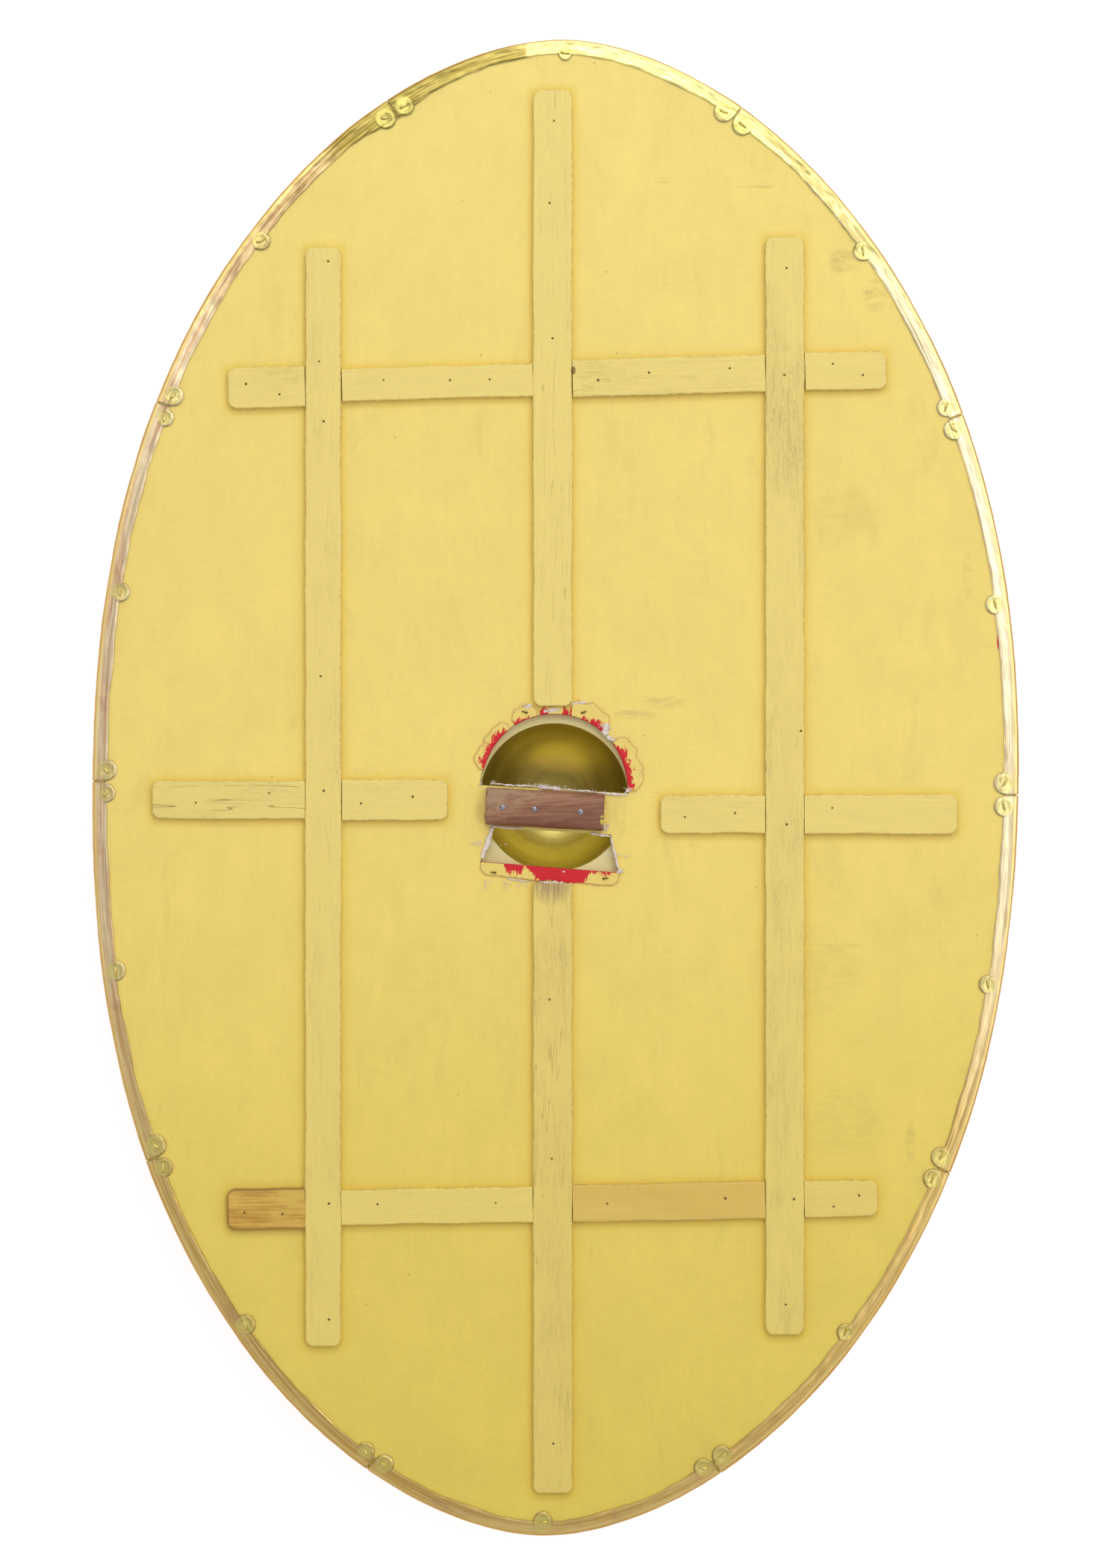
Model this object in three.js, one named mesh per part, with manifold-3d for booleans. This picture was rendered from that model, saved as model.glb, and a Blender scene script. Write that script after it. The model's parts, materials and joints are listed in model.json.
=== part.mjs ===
// Oval shield of the late Roman kind, lying loose with its inside upwards.
// Shield frame: origin on the inside face of the board, at the middle of the outline,
// +X to the right as the bearer sees the inside, +Y to the top, +Z out of the inside face.
// The finished group is leaned so that it rests on the crown of the boss and its top rim,
// with its origin at the middle of the bottom of its bounding box. Millimetres throughout.
import * as THREE from "three";
import { mergeVertices } from "three/addons/utils/BufferGeometryUtils.js";
import Module from "manifold-3d";

// Outline of the rim
const overall_height = 1149;
const overall_width = 711;
const side_fullness = 1.8;
const end_fullness = 2.1;
const outline_lean_deg = 0.87;

// Sheets and fits
const board_thickness = 8;
const cloth_thickness = 0.8;
const gap = 0.3;

// Brass edging
const edging_lengths = 10;
const edging_sheet = 1;
const edging_flange = 12;
const edging_fold = 2;
const lobe_width = 16;
const lobe_reach = 6.5;
const lobe_margin = 1;
const steps_per_length = 9;

// Battens
const batten_thickness = 5;
const batten_width = 29;
const batten_corner = 6.5;
const batten_end_to_rim = 41;
const centre_batten_x = -1;
const side_batten_share = 0.495;
const top_row_from_end = 262.7;
const top_row_rise_deg = 1.65;
const bottom_row_from_end = 257.5;
const bottom_row_rise_deg = 1.03;
const middle_left_y = -9;
const middle_left_trim = -8;
const middle_left_wider = 2;
const middle_right_y = -20;
const middle_right_trim = -6;
const middle_right_wider = 1;
const butt_gap = 0.8;
const batten_to_arch = 6.4;
const batten_to_strip = 1.2;
const batten_to_hole_side = 21;

// Hand hole
const hole_centre_y = -4;
const hole_slope_deg = -3.2;
const arch_radius = 60;
const arch_base = 3.1;
const bridge_height = 32;
const finger_hole_height = 29;
const finger_hole_top = 89;
const finger_hole_bottom = 106;

// Cloth turned over through the hand hole
const tab_reach = 11;
const strip_reach = 10;
const strip_end_taper = 5;

// Grip
const grip_length = 90;
const grip_width = 27;
const grip_thickness = 13;
const grip_x = -6.2;
const grip_edge = 4;

// Boss
const boss_centre_y = -7.1;
const boss_sheet = 1.5;
const dome_to_arch = 3.3;
const dome_depth = 52;
const dome_blend = 3;
const boss_flange_radius = 90;
const crown_flat_radius = 8.5;

// Nails
const boss_nail_margin = 5;
const boss_nail_shank = 1.5;
const boss_nail_head = 4.5;
const boss_nail_crown = 2.2;
const grip_nail_shank = 1.2;
const grip_nail_head = 2.6;
const grip_nail_crown = 0.8;
const clench_length = 6;

const wasm = await Module();
wasm.setup();

const deg = THREE.MathUtils.degToRad;
const half_height = overall_height / 2;
const half_width = overall_width / 2;
const lean = deg(outline_lean_deg);
const hole_turn = deg(hole_slope_deg);

// Levels of the stacked sheets, from the inside of the board outwards
const cloth_back_z = -board_thickness - gap;
const cloth_front_z = cloth_back_z - cloth_thickness;
const flange_back_z = cloth_front_z - gap;
const tab_back_z = gap;
const tab_front_z = tab_back_z + cloth_thickness;
const board_inset = edging_sheet + gap;
const lining = gap + cloth_thickness;

// Finishes
const matt = (color, roughness) => new THREE.MeshStandardMaterial({ color, roughness, metalness: 0 });
const metal = (color, roughness) => new THREE.MeshStandardMaterial({ color, roughness, metalness: 1 });
const yellow_paint = matt(0xe9d179, 0.75);
const pale_paint = matt(0xe2cb80, 0.8);
const bare_wood = matt(0xc9a35c, 0.8);
const brown_wood = matt(0x8a6248, 0.6);
const red_cloth = matt(0xc8202c, 0.8);
const edging_brass = metal(0xd2b878, 0.35);
const boss_brass = metal(0xb09a4a, 0.3);
const nail_iron = metal(0x9a9690, 0.5);

// A geometry as a manifold-3d solid, and back
function solid(geometry) {
  const bare = geometry.index ? geometry.toNonIndexed() : geometry;
  const points = new THREE.BufferGeometry().setAttribute("position", bare.attributes.position);
  const merged = mergeVertices(points, 1e-4);
  const vertProperties = new Float32Array(merged.attributes.position.array);
  const triVerts = new Uint32Array(merged.index.array);
  return new wasm.Manifold(new wasm.Mesh({ numProp: 3, vertProperties, triVerts }));
}

function geometryOf(manifold) {
  const { vertProperties, triVerts, numProp } = manifold.getMesh();
  const positions = new THREE.BufferAttribute(new Float32Array(vertProperties), numProp);
  const geometry = new THREE.BufferGeometry().setAttribute("position", positions);
  return geometry.setIndex(new THREE.BufferAttribute(new Uint32Array(triVerts), 1));
}

const cutAway = (body, tools) => tools.reduce((rest, tool) => rest.subtract(tool), body);
const joined = (bodies) => bodies.reduce((sum, one) => sum.add(one));
const flat = (x, y) => new THREE.Vector2(x, y);
const polar = (radius, angle) => flat(radius * Math.cos(angle), radius * Math.sin(angle));

// A flat plate of the given outline and holes between two levels
function plate(outline, low, high, holes = []) {
  const shape = new THREE.Shape(outline);
  shape.holes = holes.map((hole) => new THREE.Path(hole));
  const geometry = new THREE.ExtrudeGeometry(shape, { depth: high - low, bevelEnabled: false });
  return solid(geometry.translate(0, 0, low));
}

// A round drill along Z, for nail holes
function drill(place, radius, low, high) {
  const drill_sides = 8;
  const geometry = new THREE.CylinderGeometry(radius, radius, high - low, drill_sides);
  return solid(geometry.rotateX(Math.PI / 2).translate(place.x, place.y, (low + high) / 2));
}

// A closed body through a run of matching rings, each a copy of one counter-clockwise section
function loft(section, rings) {
  const size = section.length;
  const index = [];
  for (let i = 0; i + 1 < rings.length; i++) {
    for (let j = 0; j < size; j++) {
      const a = i * size + j;
      const b = i * size + ((j + 1) % size);
      index.push(a, b, b + size, a, b + size, a + size);
    }
  }
  const last = (rings.length - 1) * size;
  THREE.ShapeUtils.triangulateShape(section, []).forEach(([a, b, c]) => {
    index.push(a, c, b, last + a, last + b, last + c);
  });
  const geometry = new THREE.BufferGeometry().setFromPoints(rings.flat());
  return solid(geometry.setIndex(index));
}

// Outline: an oval with fuller shoulders than an ellipse, leaning a little to the right at the top
function ovalPoint(angle, inset) {
  const c = Math.cos(angle);
  const s = Math.sin(angle);
  const x = half_width * Math.sign(s) * Math.abs(s) ** (2 / side_fullness);
  const y = half_height * Math.sign(c) * Math.abs(c) ** (2 / end_fullness);
  const outward = flat(
    (Math.sign(x) * side_fullness * Math.abs(x / half_width) ** (side_fullness - 1)) / half_width,
    (Math.sign(y) * end_fullness * Math.abs(y / half_height) ** (end_fullness - 1)) / half_height,
  ).normalize();
  return flat(x, y).addScaledVector(outward, -inset).rotateAround(flat(0, 0), -lean);
}

const fine_steps = 7200;
const fine_angles = [0];
const fine_lengths = [0];
for (let i = 1; i <= fine_steps; i++) {
  const angle = (2 * Math.PI * i) / fine_steps;
  fine_lengths.push(fine_lengths[i - 1] + ovalPoint(angle, 0).distanceTo(ovalPoint(fine_angles[i - 1], 0)));
  fine_angles.push(angle);
}
const rim_length = fine_lengths[fine_steps];
const length_run = rim_length / edging_lengths;

// Angle of the point that lies a given way along the rim, clockwise from the top
function angleAlong(distance) {
  const rest = THREE.MathUtils.euclideanModulo(distance, rim_length);
  const i = fine_lengths.findIndex((length) => length > rest);
  const share = (rest - fine_lengths[i - 1]) / (fine_lengths[i] - fine_lengths[i - 1]);
  return THREE.MathUtils.lerp(fine_angles[i - 1], fine_angles[i], share);
}

// Board, cloth and edging share these sample places, so their facets lie parallel
const rim_steps = edging_lengths * steps_per_length;
const sample_run = rim_length / rim_steps;
const first_joint = length_run / 2;
const rim_angles = Array.from({ length: rim_steps }, (_, i) => angleAlong(first_joint + i * sample_run));
const ovalOutline = (inset) => rim_angles.map((angle) => ovalPoint(angle, inset));

// Hand hole: an arched opening for the fist, a wider one for the fingertips, and a bridge between
const finger_top = arch_base - bridge_height;
const finger_bottom = finger_top - finger_hole_height;
const holePlace = (p) => p.rotateAround(flat(0, 0), hole_turn).add(flat(0, hole_centre_y));
const inHole = (points) => points.map(holePlace);

function archOpening(grow) {
  const arch_steps = 20;
  const radius = arch_radius + grow;
  const start = Math.asin(arch_base / radius);
  const sweep = (Math.PI - 2 * start) / arch_steps;
  return inHole(Array.from({ length: arch_steps + 1 }, (_, i) => polar(radius, start + i * sweep)));
}

function fingerOpening(grow_below) {
  const low = finger_bottom - grow_below;
  const top_half = finger_hole_top / 2;
  const bottom_half = finger_hole_bottom / 2;
  return inHole([
    flat(-top_half, finger_top),
    flat(-bottom_half, low),
    flat(bottom_half, low),
    flat(top_half, finger_top),
  ]);
}

// Nail places: two above and two below the openings for the boss, three along the grip
const upper_nail_angles = [74, 112].map(deg);
const lower_nail_shares = [-0.39, 0.39];
const boss_nail_places = inHole([
  ...upper_nail_angles.map((angle) => polar(arch_radius + boss_nail_margin, angle)),
  ...lower_nail_shares.map((share) => flat(share * finger_hole_bottom, finger_bottom - boss_nail_margin)),
]);
const bridge_middle = arch_base - bridge_height / 2;
const grip_nail_shares = [-0.36, -0.09, 0.3];
const grip_nail_places = inHole([
  ...grip_nail_shares.map((share) => flat(grip_x + share * grip_length, bridge_middle)),
]);

function nailDrills(low, high) {
  return [
    ...boss_nail_places.map((place) => drill(place, boss_nail_shank + gap, low, high)),
    ...grip_nail_places.map((place) => drill(place, grip_nail_shank + gap, low, high)),
  ];
}

// Board: one flat oval of wood with the two openings
function board() {
  const openings = [archOpening(lining), fingerOpening(lining)];
  const blank = plate(ovalOutline(board_inset), -board_thickness, 0, openings);
  return cutAway(blank, nailDrills(-board_thickness - 1, 1));
}

// Where the centre batten comes down to the arch
const centre_wider = 1;
const centre_batten_half = (batten_width + centre_wider) / 2;
const centre_hole_top = hole_centre_y + arch_radius + batten_to_arch;

// Facing cloth: glued to the front, led through the openings and turned over on the inside.
// Along the arch it is snipped into tabs, each with its own reach as a share of the usual one.
const tabs = [
  { from: 8, to: 43, reach: 1 },
  { from: 56, to: 81, reach: 1.25 },
  { from: 84, to: 102, reach: 0.55 },
  { from: 106, to: 122, reach: 0.9 },
  { from: 128, to: 160, reach: 1.05 },
];

function archBand(inner, outer, from_deg, to_deg, low, high) {
  const step_deg = 7;
  const steps = Math.ceil((to_deg - from_deg) / step_deg);
  const turn_deg = (to_deg - from_deg) / steps;
  const angles = Array.from({ length: steps + 1 }, (_, i) => deg(from_deg + i * turn_deg));
  const near = angles.map((angle) => polar(inner, angle));
  const far = angles.map((angle) => polar(outer, angle)).reverse();
  return plate(inHole([...near, ...far]), low, high);
}

function facingCloth() {
  const openings = [archOpening(0), fingerOpening(0)];
  const front = plate(ovalOutline(board_inset), cloth_front_z, cloth_back_z, openings);
  const first = tabs[0].from;
  const last = tabs[tabs.length - 1].to;
  const lined = archBand(arch_radius, arch_radius + cloth_thickness, first, last, cloth_front_z, tab_front_z);
  const leaves = tabs.map(({ from, to, reach }) =>
    archBand(arch_radius, arch_radius + reach * tab_reach, from, to, tab_back_z, tab_front_z),
  );
  const half = finger_hole_bottom / 2 - lining;
  const wall_low = finger_bottom - cloth_thickness;
  const leaf_low = finger_bottom - strip_reach;
  const leaf_half = half - strip_end_taper;
  const band = (low_half, low) => [
    flat(-half, finger_bottom),
    flat(-low_half, low),
    flat(low_half, low),
    flat(half, finger_bottom),
  ];
  const strip_wall = plate(inHole(band(half, wall_low)), cloth_front_z, tab_front_z);
  const strip_leaf = plate(inHole(band(leaf_half, leaf_low)), tab_back_z, tab_front_z);
  const whole = joined([front, lined, ...leaves, strip_wall, strip_leaf]);
  const left = centre_batten_x - centre_batten_half - gap;
  const right = centre_batten_x + centre_batten_half + gap;
  const low = centre_hole_top - gap;
  const high = centre_hole_top + 4 * tab_reach;
  const footprint = [flat(left, low), flat(right, low), flat(right, high), flat(left, high)];
  const under_batten = plate(footprint, 0, 2 * tab_front_z);
  return cutAway(whole, [under_batten, ...nailDrills(cloth_front_z - 1, tab_front_z + 1)]);
}

// How far a batten may run from a point in a direction before it comes too near the rim
function reach(point, direction) {
  const across = half_width - batten_end_to_rim;
  const along = half_height - batten_end_to_rim;
  const halvings = 30;
  let near = 0;
  let far = half_height;
  for (let i = 0; i < halvings; i++) {
    const middle = (near + far) / 2;
    const p = point.clone().addScaledVector(direction, middle).rotateAround(flat(0, 0), lean);
    const fullness = Math.abs(p.x / across) ** side_fullness + Math.abs(p.y / along) ** end_fullness;
    if (fullness < 1) near = middle;
    else far = middle;
  }
  return near;
}

// A batten between two points, with its corners rounded at a free end and square where it butts
function batten(from, to, width, round_from, round_to) {
  const length = from.distanceTo(to);
  const w = width / 2;
  const r = Math.min(batten_corner, w);
  const quarter = Math.PI / 2;
  const shape = new THREE.Shape();
  shape.moveTo(round_from ? r : 0, -w);
  if (round_to) {
    shape.absarc(length - r, r - w, r, -quarter, 0, false);
    shape.absarc(length - r, w - r, r, 0, quarter, false);
  } else {
    shape.lineTo(length, -w);
    shape.lineTo(length, w);
  }
  if (round_from) {
    shape.absarc(r, w - r, r, quarter, 2 * quarter, false);
    shape.absarc(r, r - w, r, 2 * quarter, 3 * quarter, false);
  } else {
    shape.lineTo(0, w);
  }
  const settings = { depth: batten_thickness, bevelEnabled: false, curveSegments: 3 };
  const geometry = new THREE.ExtrudeGeometry(shape, settings);
  geometry.rotateZ(to.clone().sub(from).angle()).translate(from.x, from.y, gap);
  return solid(geometry);
}

// Edging: a U of sheet brass over the rim, in lengths, with a round lobe on both faces at each nail
const edging_top_z = gap + edging_sheet;
const edging_front_z = flange_back_z - edging_sheet;

function edgingSection() {
  const fold_steps = 2;
  const corner = (z, turn_from) =>
    Array.from({ length: fold_steps + 1 }, (_, i) => {
      const turn = turn_from + ((Math.PI / 2) * i) / fold_steps;
      return flat(z + edging_fold * Math.cos(turn), edging_fold + edging_fold * Math.sin(turn));
    });
  return [
    flat(gap, edging_flange),
    flat(gap, edging_sheet),
    flat(flange_back_z, edging_sheet),
    flat(flange_back_z, edging_flange),
    flat(edging_front_z, edging_flange),
    ...corner(edging_front_z + edging_fold, Math.PI),
    ...corner(edging_top_z - edging_fold, -Math.PI / 2),
    flat(edging_top_z, edging_flange),
  ];
}

function lobe(distance, low, high) {
  const lobe_steps = 5;
  const angle = angleAlong(distance);
  const rim = ovalPoint(angle, 0);
  const inward = ovalPoint(angle, 1).sub(rim).normalize();
  const sideways = flat(-inward.y, inward.x);
  const at = (along, depth) => rim.clone().addScaledVector(sideways, along).addScaledVector(inward, depth);
  const half = lobe_width / 2;
  const arc = Array.from({ length: lobe_steps + 1 }, (_, i) => {
    const turn = (Math.PI * i) / lobe_steps;
    return at(half * Math.cos(turn), edging_flange + lobe_reach * Math.sin(turn));
  });
  const root = edging_flange / 2;
  return plate([...arc, at(-half, root), at(half, root)], low, high);
}

function edging(number) {
  const section = edgingSection();
  const start = first_joint + (number - 1) * length_run;
  const rings = Array.from({ length: steps_per_length + 1 }, (_, i) => {
    const trim = i === 0 ? gap : i === steps_per_length ? -gap : 0;
    const angle = angleAlong(start + i * sample_run + trim);
    return section.map(({ x: z, y: inset }) => {
      const p = ovalPoint(angle, inset);
      return new THREE.Vector3(p.x, p.y, z);
    });
  });
  const lobe_from_joint = lobe_width / 2 + lobe_margin;
  const stations = [lobe_from_joint, length_run / 2, length_run - lobe_from_joint];
  const lobes = stations.flatMap((station) => [
    lobe(start + station, gap, edging_top_z),
    lobe(start + station, edging_front_z, flange_back_z),
  ]);
  return joined([loft(section, rings), ...lobes]);
}

// Boss: a bowl of sheet brass with a flat flange, worn flat where its crown meets the ground.
// The bowl is a little narrower than the arch, so that its flange shows round the opening.
const dome_radius = arch_radius - dome_to_arch;
const dome_ball = (dome_radius ** 2 + dome_depth ** 2) / (2 * dome_depth);
const ball_z = flange_back_z - dome_depth + dome_ball;
const outer_ball = dome_ball + boss_sheet;
const flange_front_z = flange_back_z - boss_sheet;
const crown_reach = Math.sqrt(outer_ball ** 2 - crown_flat_radius ** 2);

// Lean at which the flat on the crown and the lower corner of the top rim lie in one plane
const top_rim_y = Math.max(...ovalOutline(edging_fold).map((p) => p.y));
const rim_run = top_rim_y - boss_centre_y;
const rim_rise = edging_front_z - ball_z;
const rest_lean = Math.asin(crown_reach / Math.hypot(rim_run, rim_rise)) + Math.atan2(rim_rise, rim_run);

function boss() {
  const dome_steps = 7;
  const around = 32;
  const outer_rim = Math.acos((flange_front_z - dome_blend - ball_z) / -outer_ball);
  const inner_rim = Math.acos((flange_back_z - ball_z) / -dome_ball);
  const onBall = (radius, angle) => flat(radius * Math.sin(angle), ball_z - radius * Math.cos(angle));
  const shares = Array.from({ length: dome_steps }, (_, i) => (i + 1) / dome_steps);
  const outer = shares.map((share) => onBall(outer_ball, outer_rim * share));
  const inner = shares.map((share) => onBall(dome_ball, inner_rim * share)).reverse();
  const profile = [
    flat(0, ball_z - outer_ball),
    ...outer,
    flat(outer[dome_steps - 1].x + dome_blend, flange_front_z),
    flat(boss_flange_radius, flange_front_z),
    flat(boss_flange_radius, flange_back_z),
    ...inner,
    flat(0, ball_z - dome_ball),
  ];
  const turned = new THREE.LatheGeometry(profile, around).rotateX(Math.PI / 2);
  const bowl = solid(turned.translate(0, boss_centre_y, 0));
  const block = 4 * crown_flat_radius;
  const ground = new THREE.BoxGeometry(block, block, block).translate(0, 0, -crown_reach - block / 2);
  ground.rotateX(rest_lean).translate(0, boss_centre_y, ball_z);
  const holes = boss_nail_places.map((place) =>
    drill(place, boss_nail_shank + gap, flange_front_z - 1, flange_back_z + 1),
  );
  return cutAway(bowl, [solid(ground), ...holes]);
}

// Grip: a bar with eased edges, nailed on the bridge of the board
function grip() {
  const w = grip_width / 2;
  const top = gap + grip_thickness;
  const ease_share = 0.3;
  const ease = grip_edge * ease_share;
  const section = [
    flat(-w, gap),
    flat(w, gap),
    flat(w, top - grip_edge),
    flat(w - ease, top - ease),
    flat(w - grip_edge, top),
    flat(grip_edge - w, top),
    flat(ease - w, top - ease),
    flat(-w, top - grip_edge),
  ];
  const ends = [-grip_length / 2, grip_length / 2];
  const rings = ends.map((x) => section.map((p) => new THREE.Vector3(grip_x + x, bridge_middle + p.x, p.y)));
  const bar = geometryOf(loft(section, rings)).rotateZ(hole_turn).translate(0, hole_centre_y, 0);
  const holes = grip_nail_places.map((place) => drill(place, grip_nail_shank + gap, 0, top + 1));
  return cutAway(solid(bar), holes);
}

// A nail along Z from its head to where its point is bent over flat against the far side
function nail(place, head_z, far_z, { head, crown, shank, bend }) {
  const around = 10;
  const shoulder_share = 0.65;
  const shoulder_height_share = 0.75;
  const point_share = 1.6;
  const way = Math.sign(far_z - head_z);
  const length = Math.abs(far_z - head_z) + gap + 2 * shank;
  const profile = [
    flat(0, -crown),
    flat(head * shoulder_share, -crown * shoulder_height_share),
    flat(head, 0),
    flat(shank, 0),
    flat(shank, length),
    flat(0, length),
  ];
  const body = new THREE.LatheGeometry(profile, around).rotateX((way * Math.PI) / 2);
  body.translate(place.x, place.y, head_z);
  const point_width = shank * point_share;
  const point = new THREE.BoxGeometry(clench_length, point_width, point_width);
  point.translate(clench_length / 2, 0, 0).rotateZ(bend);
  point.translate(place.x, place.y, head_z + way * (length - point_width / 2));
  return solid(body).add(solid(point));
}

// Group
const shield = new THREE.Group();

function fit(name, body, material) {
  const mesh = new THREE.Mesh(geometryOf(body), material);
  mesh.name = name;
  shield.add(mesh);
}

fit("board", board(), yellow_paint);
fit("facing_cloth", facingCloth(), red_cloth);
fit("boss", boss(), boss_brass);
fit("grip", grip(), brown_wood);

for (let number = 1; number <= edging_lengths; number++) {
  fit("edging_" + number, edging(number), edging_brass);
}

// Upright battens, each with the small differences of hand work: its width and how far it runs
const side_batten_x = side_batten_share * half_width;
const centre_hole_bottom = hole_centre_y + finger_bottom - strip_reach - batten_to_strip;

function uprightEnd(x, width, side, trim) {
  const corners = [-1, 1].map((edge) => reach(flat(x + (edge * width) / 2, 0), flat(0, side)));
  return flat(x, side * (Math.min(...corners) + trim));
}

const uprights = {
  batten_left: { x: -side_batten_x, wider: -1.6, top_trim: 0, bottom_trim: 3 },
  batten_right: { x: side_batten_x, wider: 0.6, top_trim: -1, bottom_trim: 6 },
  batten_centre_top: {
    x: centre_batten_x,
    wider: centre_wider,
    top_trim: 1,
    inner_y: centre_hole_top,
    round_inner: true,
  },
  batten_centre_bottom: {
    x: centre_batten_x,
    wider: centre_wider,
    bottom_trim: 6,
    inner_y: centre_hole_bottom,
  },
};

Object.entries(uprights).forEach(([name, { x, wider, top_trim, bottom_trim, inner_y, round_inner }]) => {
  const width = batten_width + wider;
  const inner = flat(x, inner_y);
  const top = top_trim === undefined ? inner : uprightEnd(x, width, 1, top_trim);
  const bottom = bottom_trim === undefined ? inner : uprightEnd(x, width, -1, bottom_trim);
  const round_bottom = bottom !== inner || Boolean(round_inner);
  fit(name, batten(bottom, top, width, round_bottom, top !== inner), pale_paint);
});

// Cross battens in three rows, cut to butt against the uprights
const left_edges = [-side_batten_x, (batten_width + uprights.batten_left.wider) / 2];
const right_edges = [side_batten_x, (batten_width + uprights.batten_right.wider) / 2];
const left_out = left_edges[0] - left_edges[1] - butt_gap;
const left_in = left_edges[0] + left_edges[1] + butt_gap;
const right_in = right_edges[0] - right_edges[1] - butt_gap;
const right_out = right_edges[0] + right_edges[1] + butt_gap;
const centre_left = centre_batten_x - centre_batten_half - butt_gap;
const centre_right = centre_batten_x + centre_batten_half + butt_gap;

function crossEnd(y, width, side, trim) {
  const corners = [-1, 1].map((edge) => reach(flat(0, y + (edge * width) / 2), flat(side, 0)));
  return side * (Math.min(...corners) + trim);
}

function crossBatten(name, [x_from, x_to], { y, rise, width, round_from, round_to, material }) {
  const at = (x) => flat(x, y + x * Math.tan(rise));
  fit(name, batten(at(x_from), at(x_to), width, round_from, round_to), material ?? pale_paint);
}

const top_row_y = half_height - top_row_from_end;
const bottom_row_y = bottom_row_from_end - half_height;
const full_rows = [
  {
    name: "batten_top_row",
    y: top_row_y,
    rise: deg(top_row_rise_deg),
    wider: [2, -4, -0.6, 0],
    trims: [6, 4],
  },
  {
    name: "batten_bottom_row",
    y: bottom_row_y,
    rise: deg(bottom_row_rise_deg),
    wider: [2, -2, -0.6, -1.4],
    trims: [3, 6],
  },
];

full_rows.forEach(({ name, y, rise, wider, trims }, row) => {
  const widths = wider.map((extra) => batten_width + extra);
  const left = crossEnd(y, widths[0], -1, trims[0]);
  const right = crossEnd(y, widths[3], 1, trims[1]);
  const runs = [
    [left, left_out],
    [left_in, centre_left],
    [centre_right, right_in],
    [right_out, right],
  ];
  runs.forEach((run, i) => {
    const material = row === 1 && i === 0 ? bare_wood : pale_paint;
    const ends = { round_from: i === 0, round_to: i === 3 };
    crossBatten(name + "_" + (i + 1), run, { y, rise, width: widths[i], ...ends, material });
  });
});

const hole_side = arch_radius + batten_to_hole_side;
const left_end = crossEnd(middle_left_y, batten_width, -1, middle_left_trim);
const right_end = crossEnd(middle_right_y, batten_width, 1, middle_right_trim);
const left_middle = { y: middle_left_y, rise: 0, width: batten_width };
const right_middle = { y: middle_right_y, rise: 0, width: batten_width };
const wide_left = { ...left_middle, width: batten_width + middle_left_wider };
const wide_right = { ...right_middle, width: batten_width + middle_right_wider };
crossBatten("batten_middle_left_outer", [left_end, left_out], { ...left_middle, round_from: true });
crossBatten("batten_middle_left_inner", [left_in, -hole_side], { ...wide_left, round_to: true });
crossBatten("batten_middle_right_inner", [hole_side, right_in], { ...right_middle, round_from: true });
crossBatten("batten_middle_right_outer", [right_out, right_end], { ...wide_right, round_to: true });

// Nails of the boss and of the grip, each bent over its own way
const boss_nail = { head: boss_nail_head, crown: boss_nail_crown, shank: boss_nail_shank };
const grip_nail = { head: grip_nail_head, crown: grip_nail_crown, shank: grip_nail_shank };
const boss_bends = [20, 160, 175, 10].map(deg);
const grip_bends = [90, 80, 95].map(deg);

boss_nail_places.forEach((place, i) => {
  const body = nail(place, flange_front_z - gap, tab_front_z, { ...boss_nail, bend: boss_bends[i] });
  fit("boss_nail_" + (i + 1), body, nail_iron);
});

grip_nail_places.forEach((place, i) => {
  const body = nail(place, 2 * gap + grip_thickness, cloth_front_z, { ...grip_nail, bend: grip_bends[i] });
  fit("grip_nail_" + (i + 1), body, nail_iron);
});

// Rest pose: leaned onto the top rim, then set with its origin under the middle of its box
const at_rest = new THREE.Group();
shield.rotation.x = -rest_lean;
at_rest.add(shield);
at_rest.updateMatrixWorld(true);
const box = new THREE.Box3().setFromObject(at_rest, true);
const middle = box.getCenter(new THREE.Vector3());
shield.position.set(-middle.x, -middle.y, -box.min.z);

export default at_rest;
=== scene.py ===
import json
import math
import random

import bmesh
import bpy
import numpy as np
from mathutils import Matrix, Vector, noise
from mathutils.geometry import delaunay_2d_cdt


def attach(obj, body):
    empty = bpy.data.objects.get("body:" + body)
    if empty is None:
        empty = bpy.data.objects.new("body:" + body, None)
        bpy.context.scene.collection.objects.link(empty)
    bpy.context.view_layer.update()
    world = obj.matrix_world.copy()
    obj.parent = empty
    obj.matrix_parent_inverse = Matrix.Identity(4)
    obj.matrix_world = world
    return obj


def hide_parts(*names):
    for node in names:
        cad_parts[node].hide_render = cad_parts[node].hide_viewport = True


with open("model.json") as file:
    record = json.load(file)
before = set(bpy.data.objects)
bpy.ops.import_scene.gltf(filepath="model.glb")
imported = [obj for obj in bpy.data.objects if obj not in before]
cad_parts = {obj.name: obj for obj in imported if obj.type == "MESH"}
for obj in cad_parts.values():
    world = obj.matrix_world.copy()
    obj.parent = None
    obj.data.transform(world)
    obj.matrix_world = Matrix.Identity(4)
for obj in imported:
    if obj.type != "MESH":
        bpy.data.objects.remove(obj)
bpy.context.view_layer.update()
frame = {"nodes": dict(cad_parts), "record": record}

# Outline of the rim
OVERALL_HEIGHT = 1149
OVERALL_WIDTH = 711
SIDE_FULLNESS = 1.8
END_FULLNESS = 2.1
OUTLINE_LEAN = math.radians(0.87)
# The rim was cut by hand: waves about the oval as order, size in thousandths of the radius, and degrees.
# They make it fuller to the upper right, a little three-cornered, and fuller at its four shoulders.
HAND_CUT = [(1, 2, 60), (3, 2, 30), (4, 5, 180)]

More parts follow.
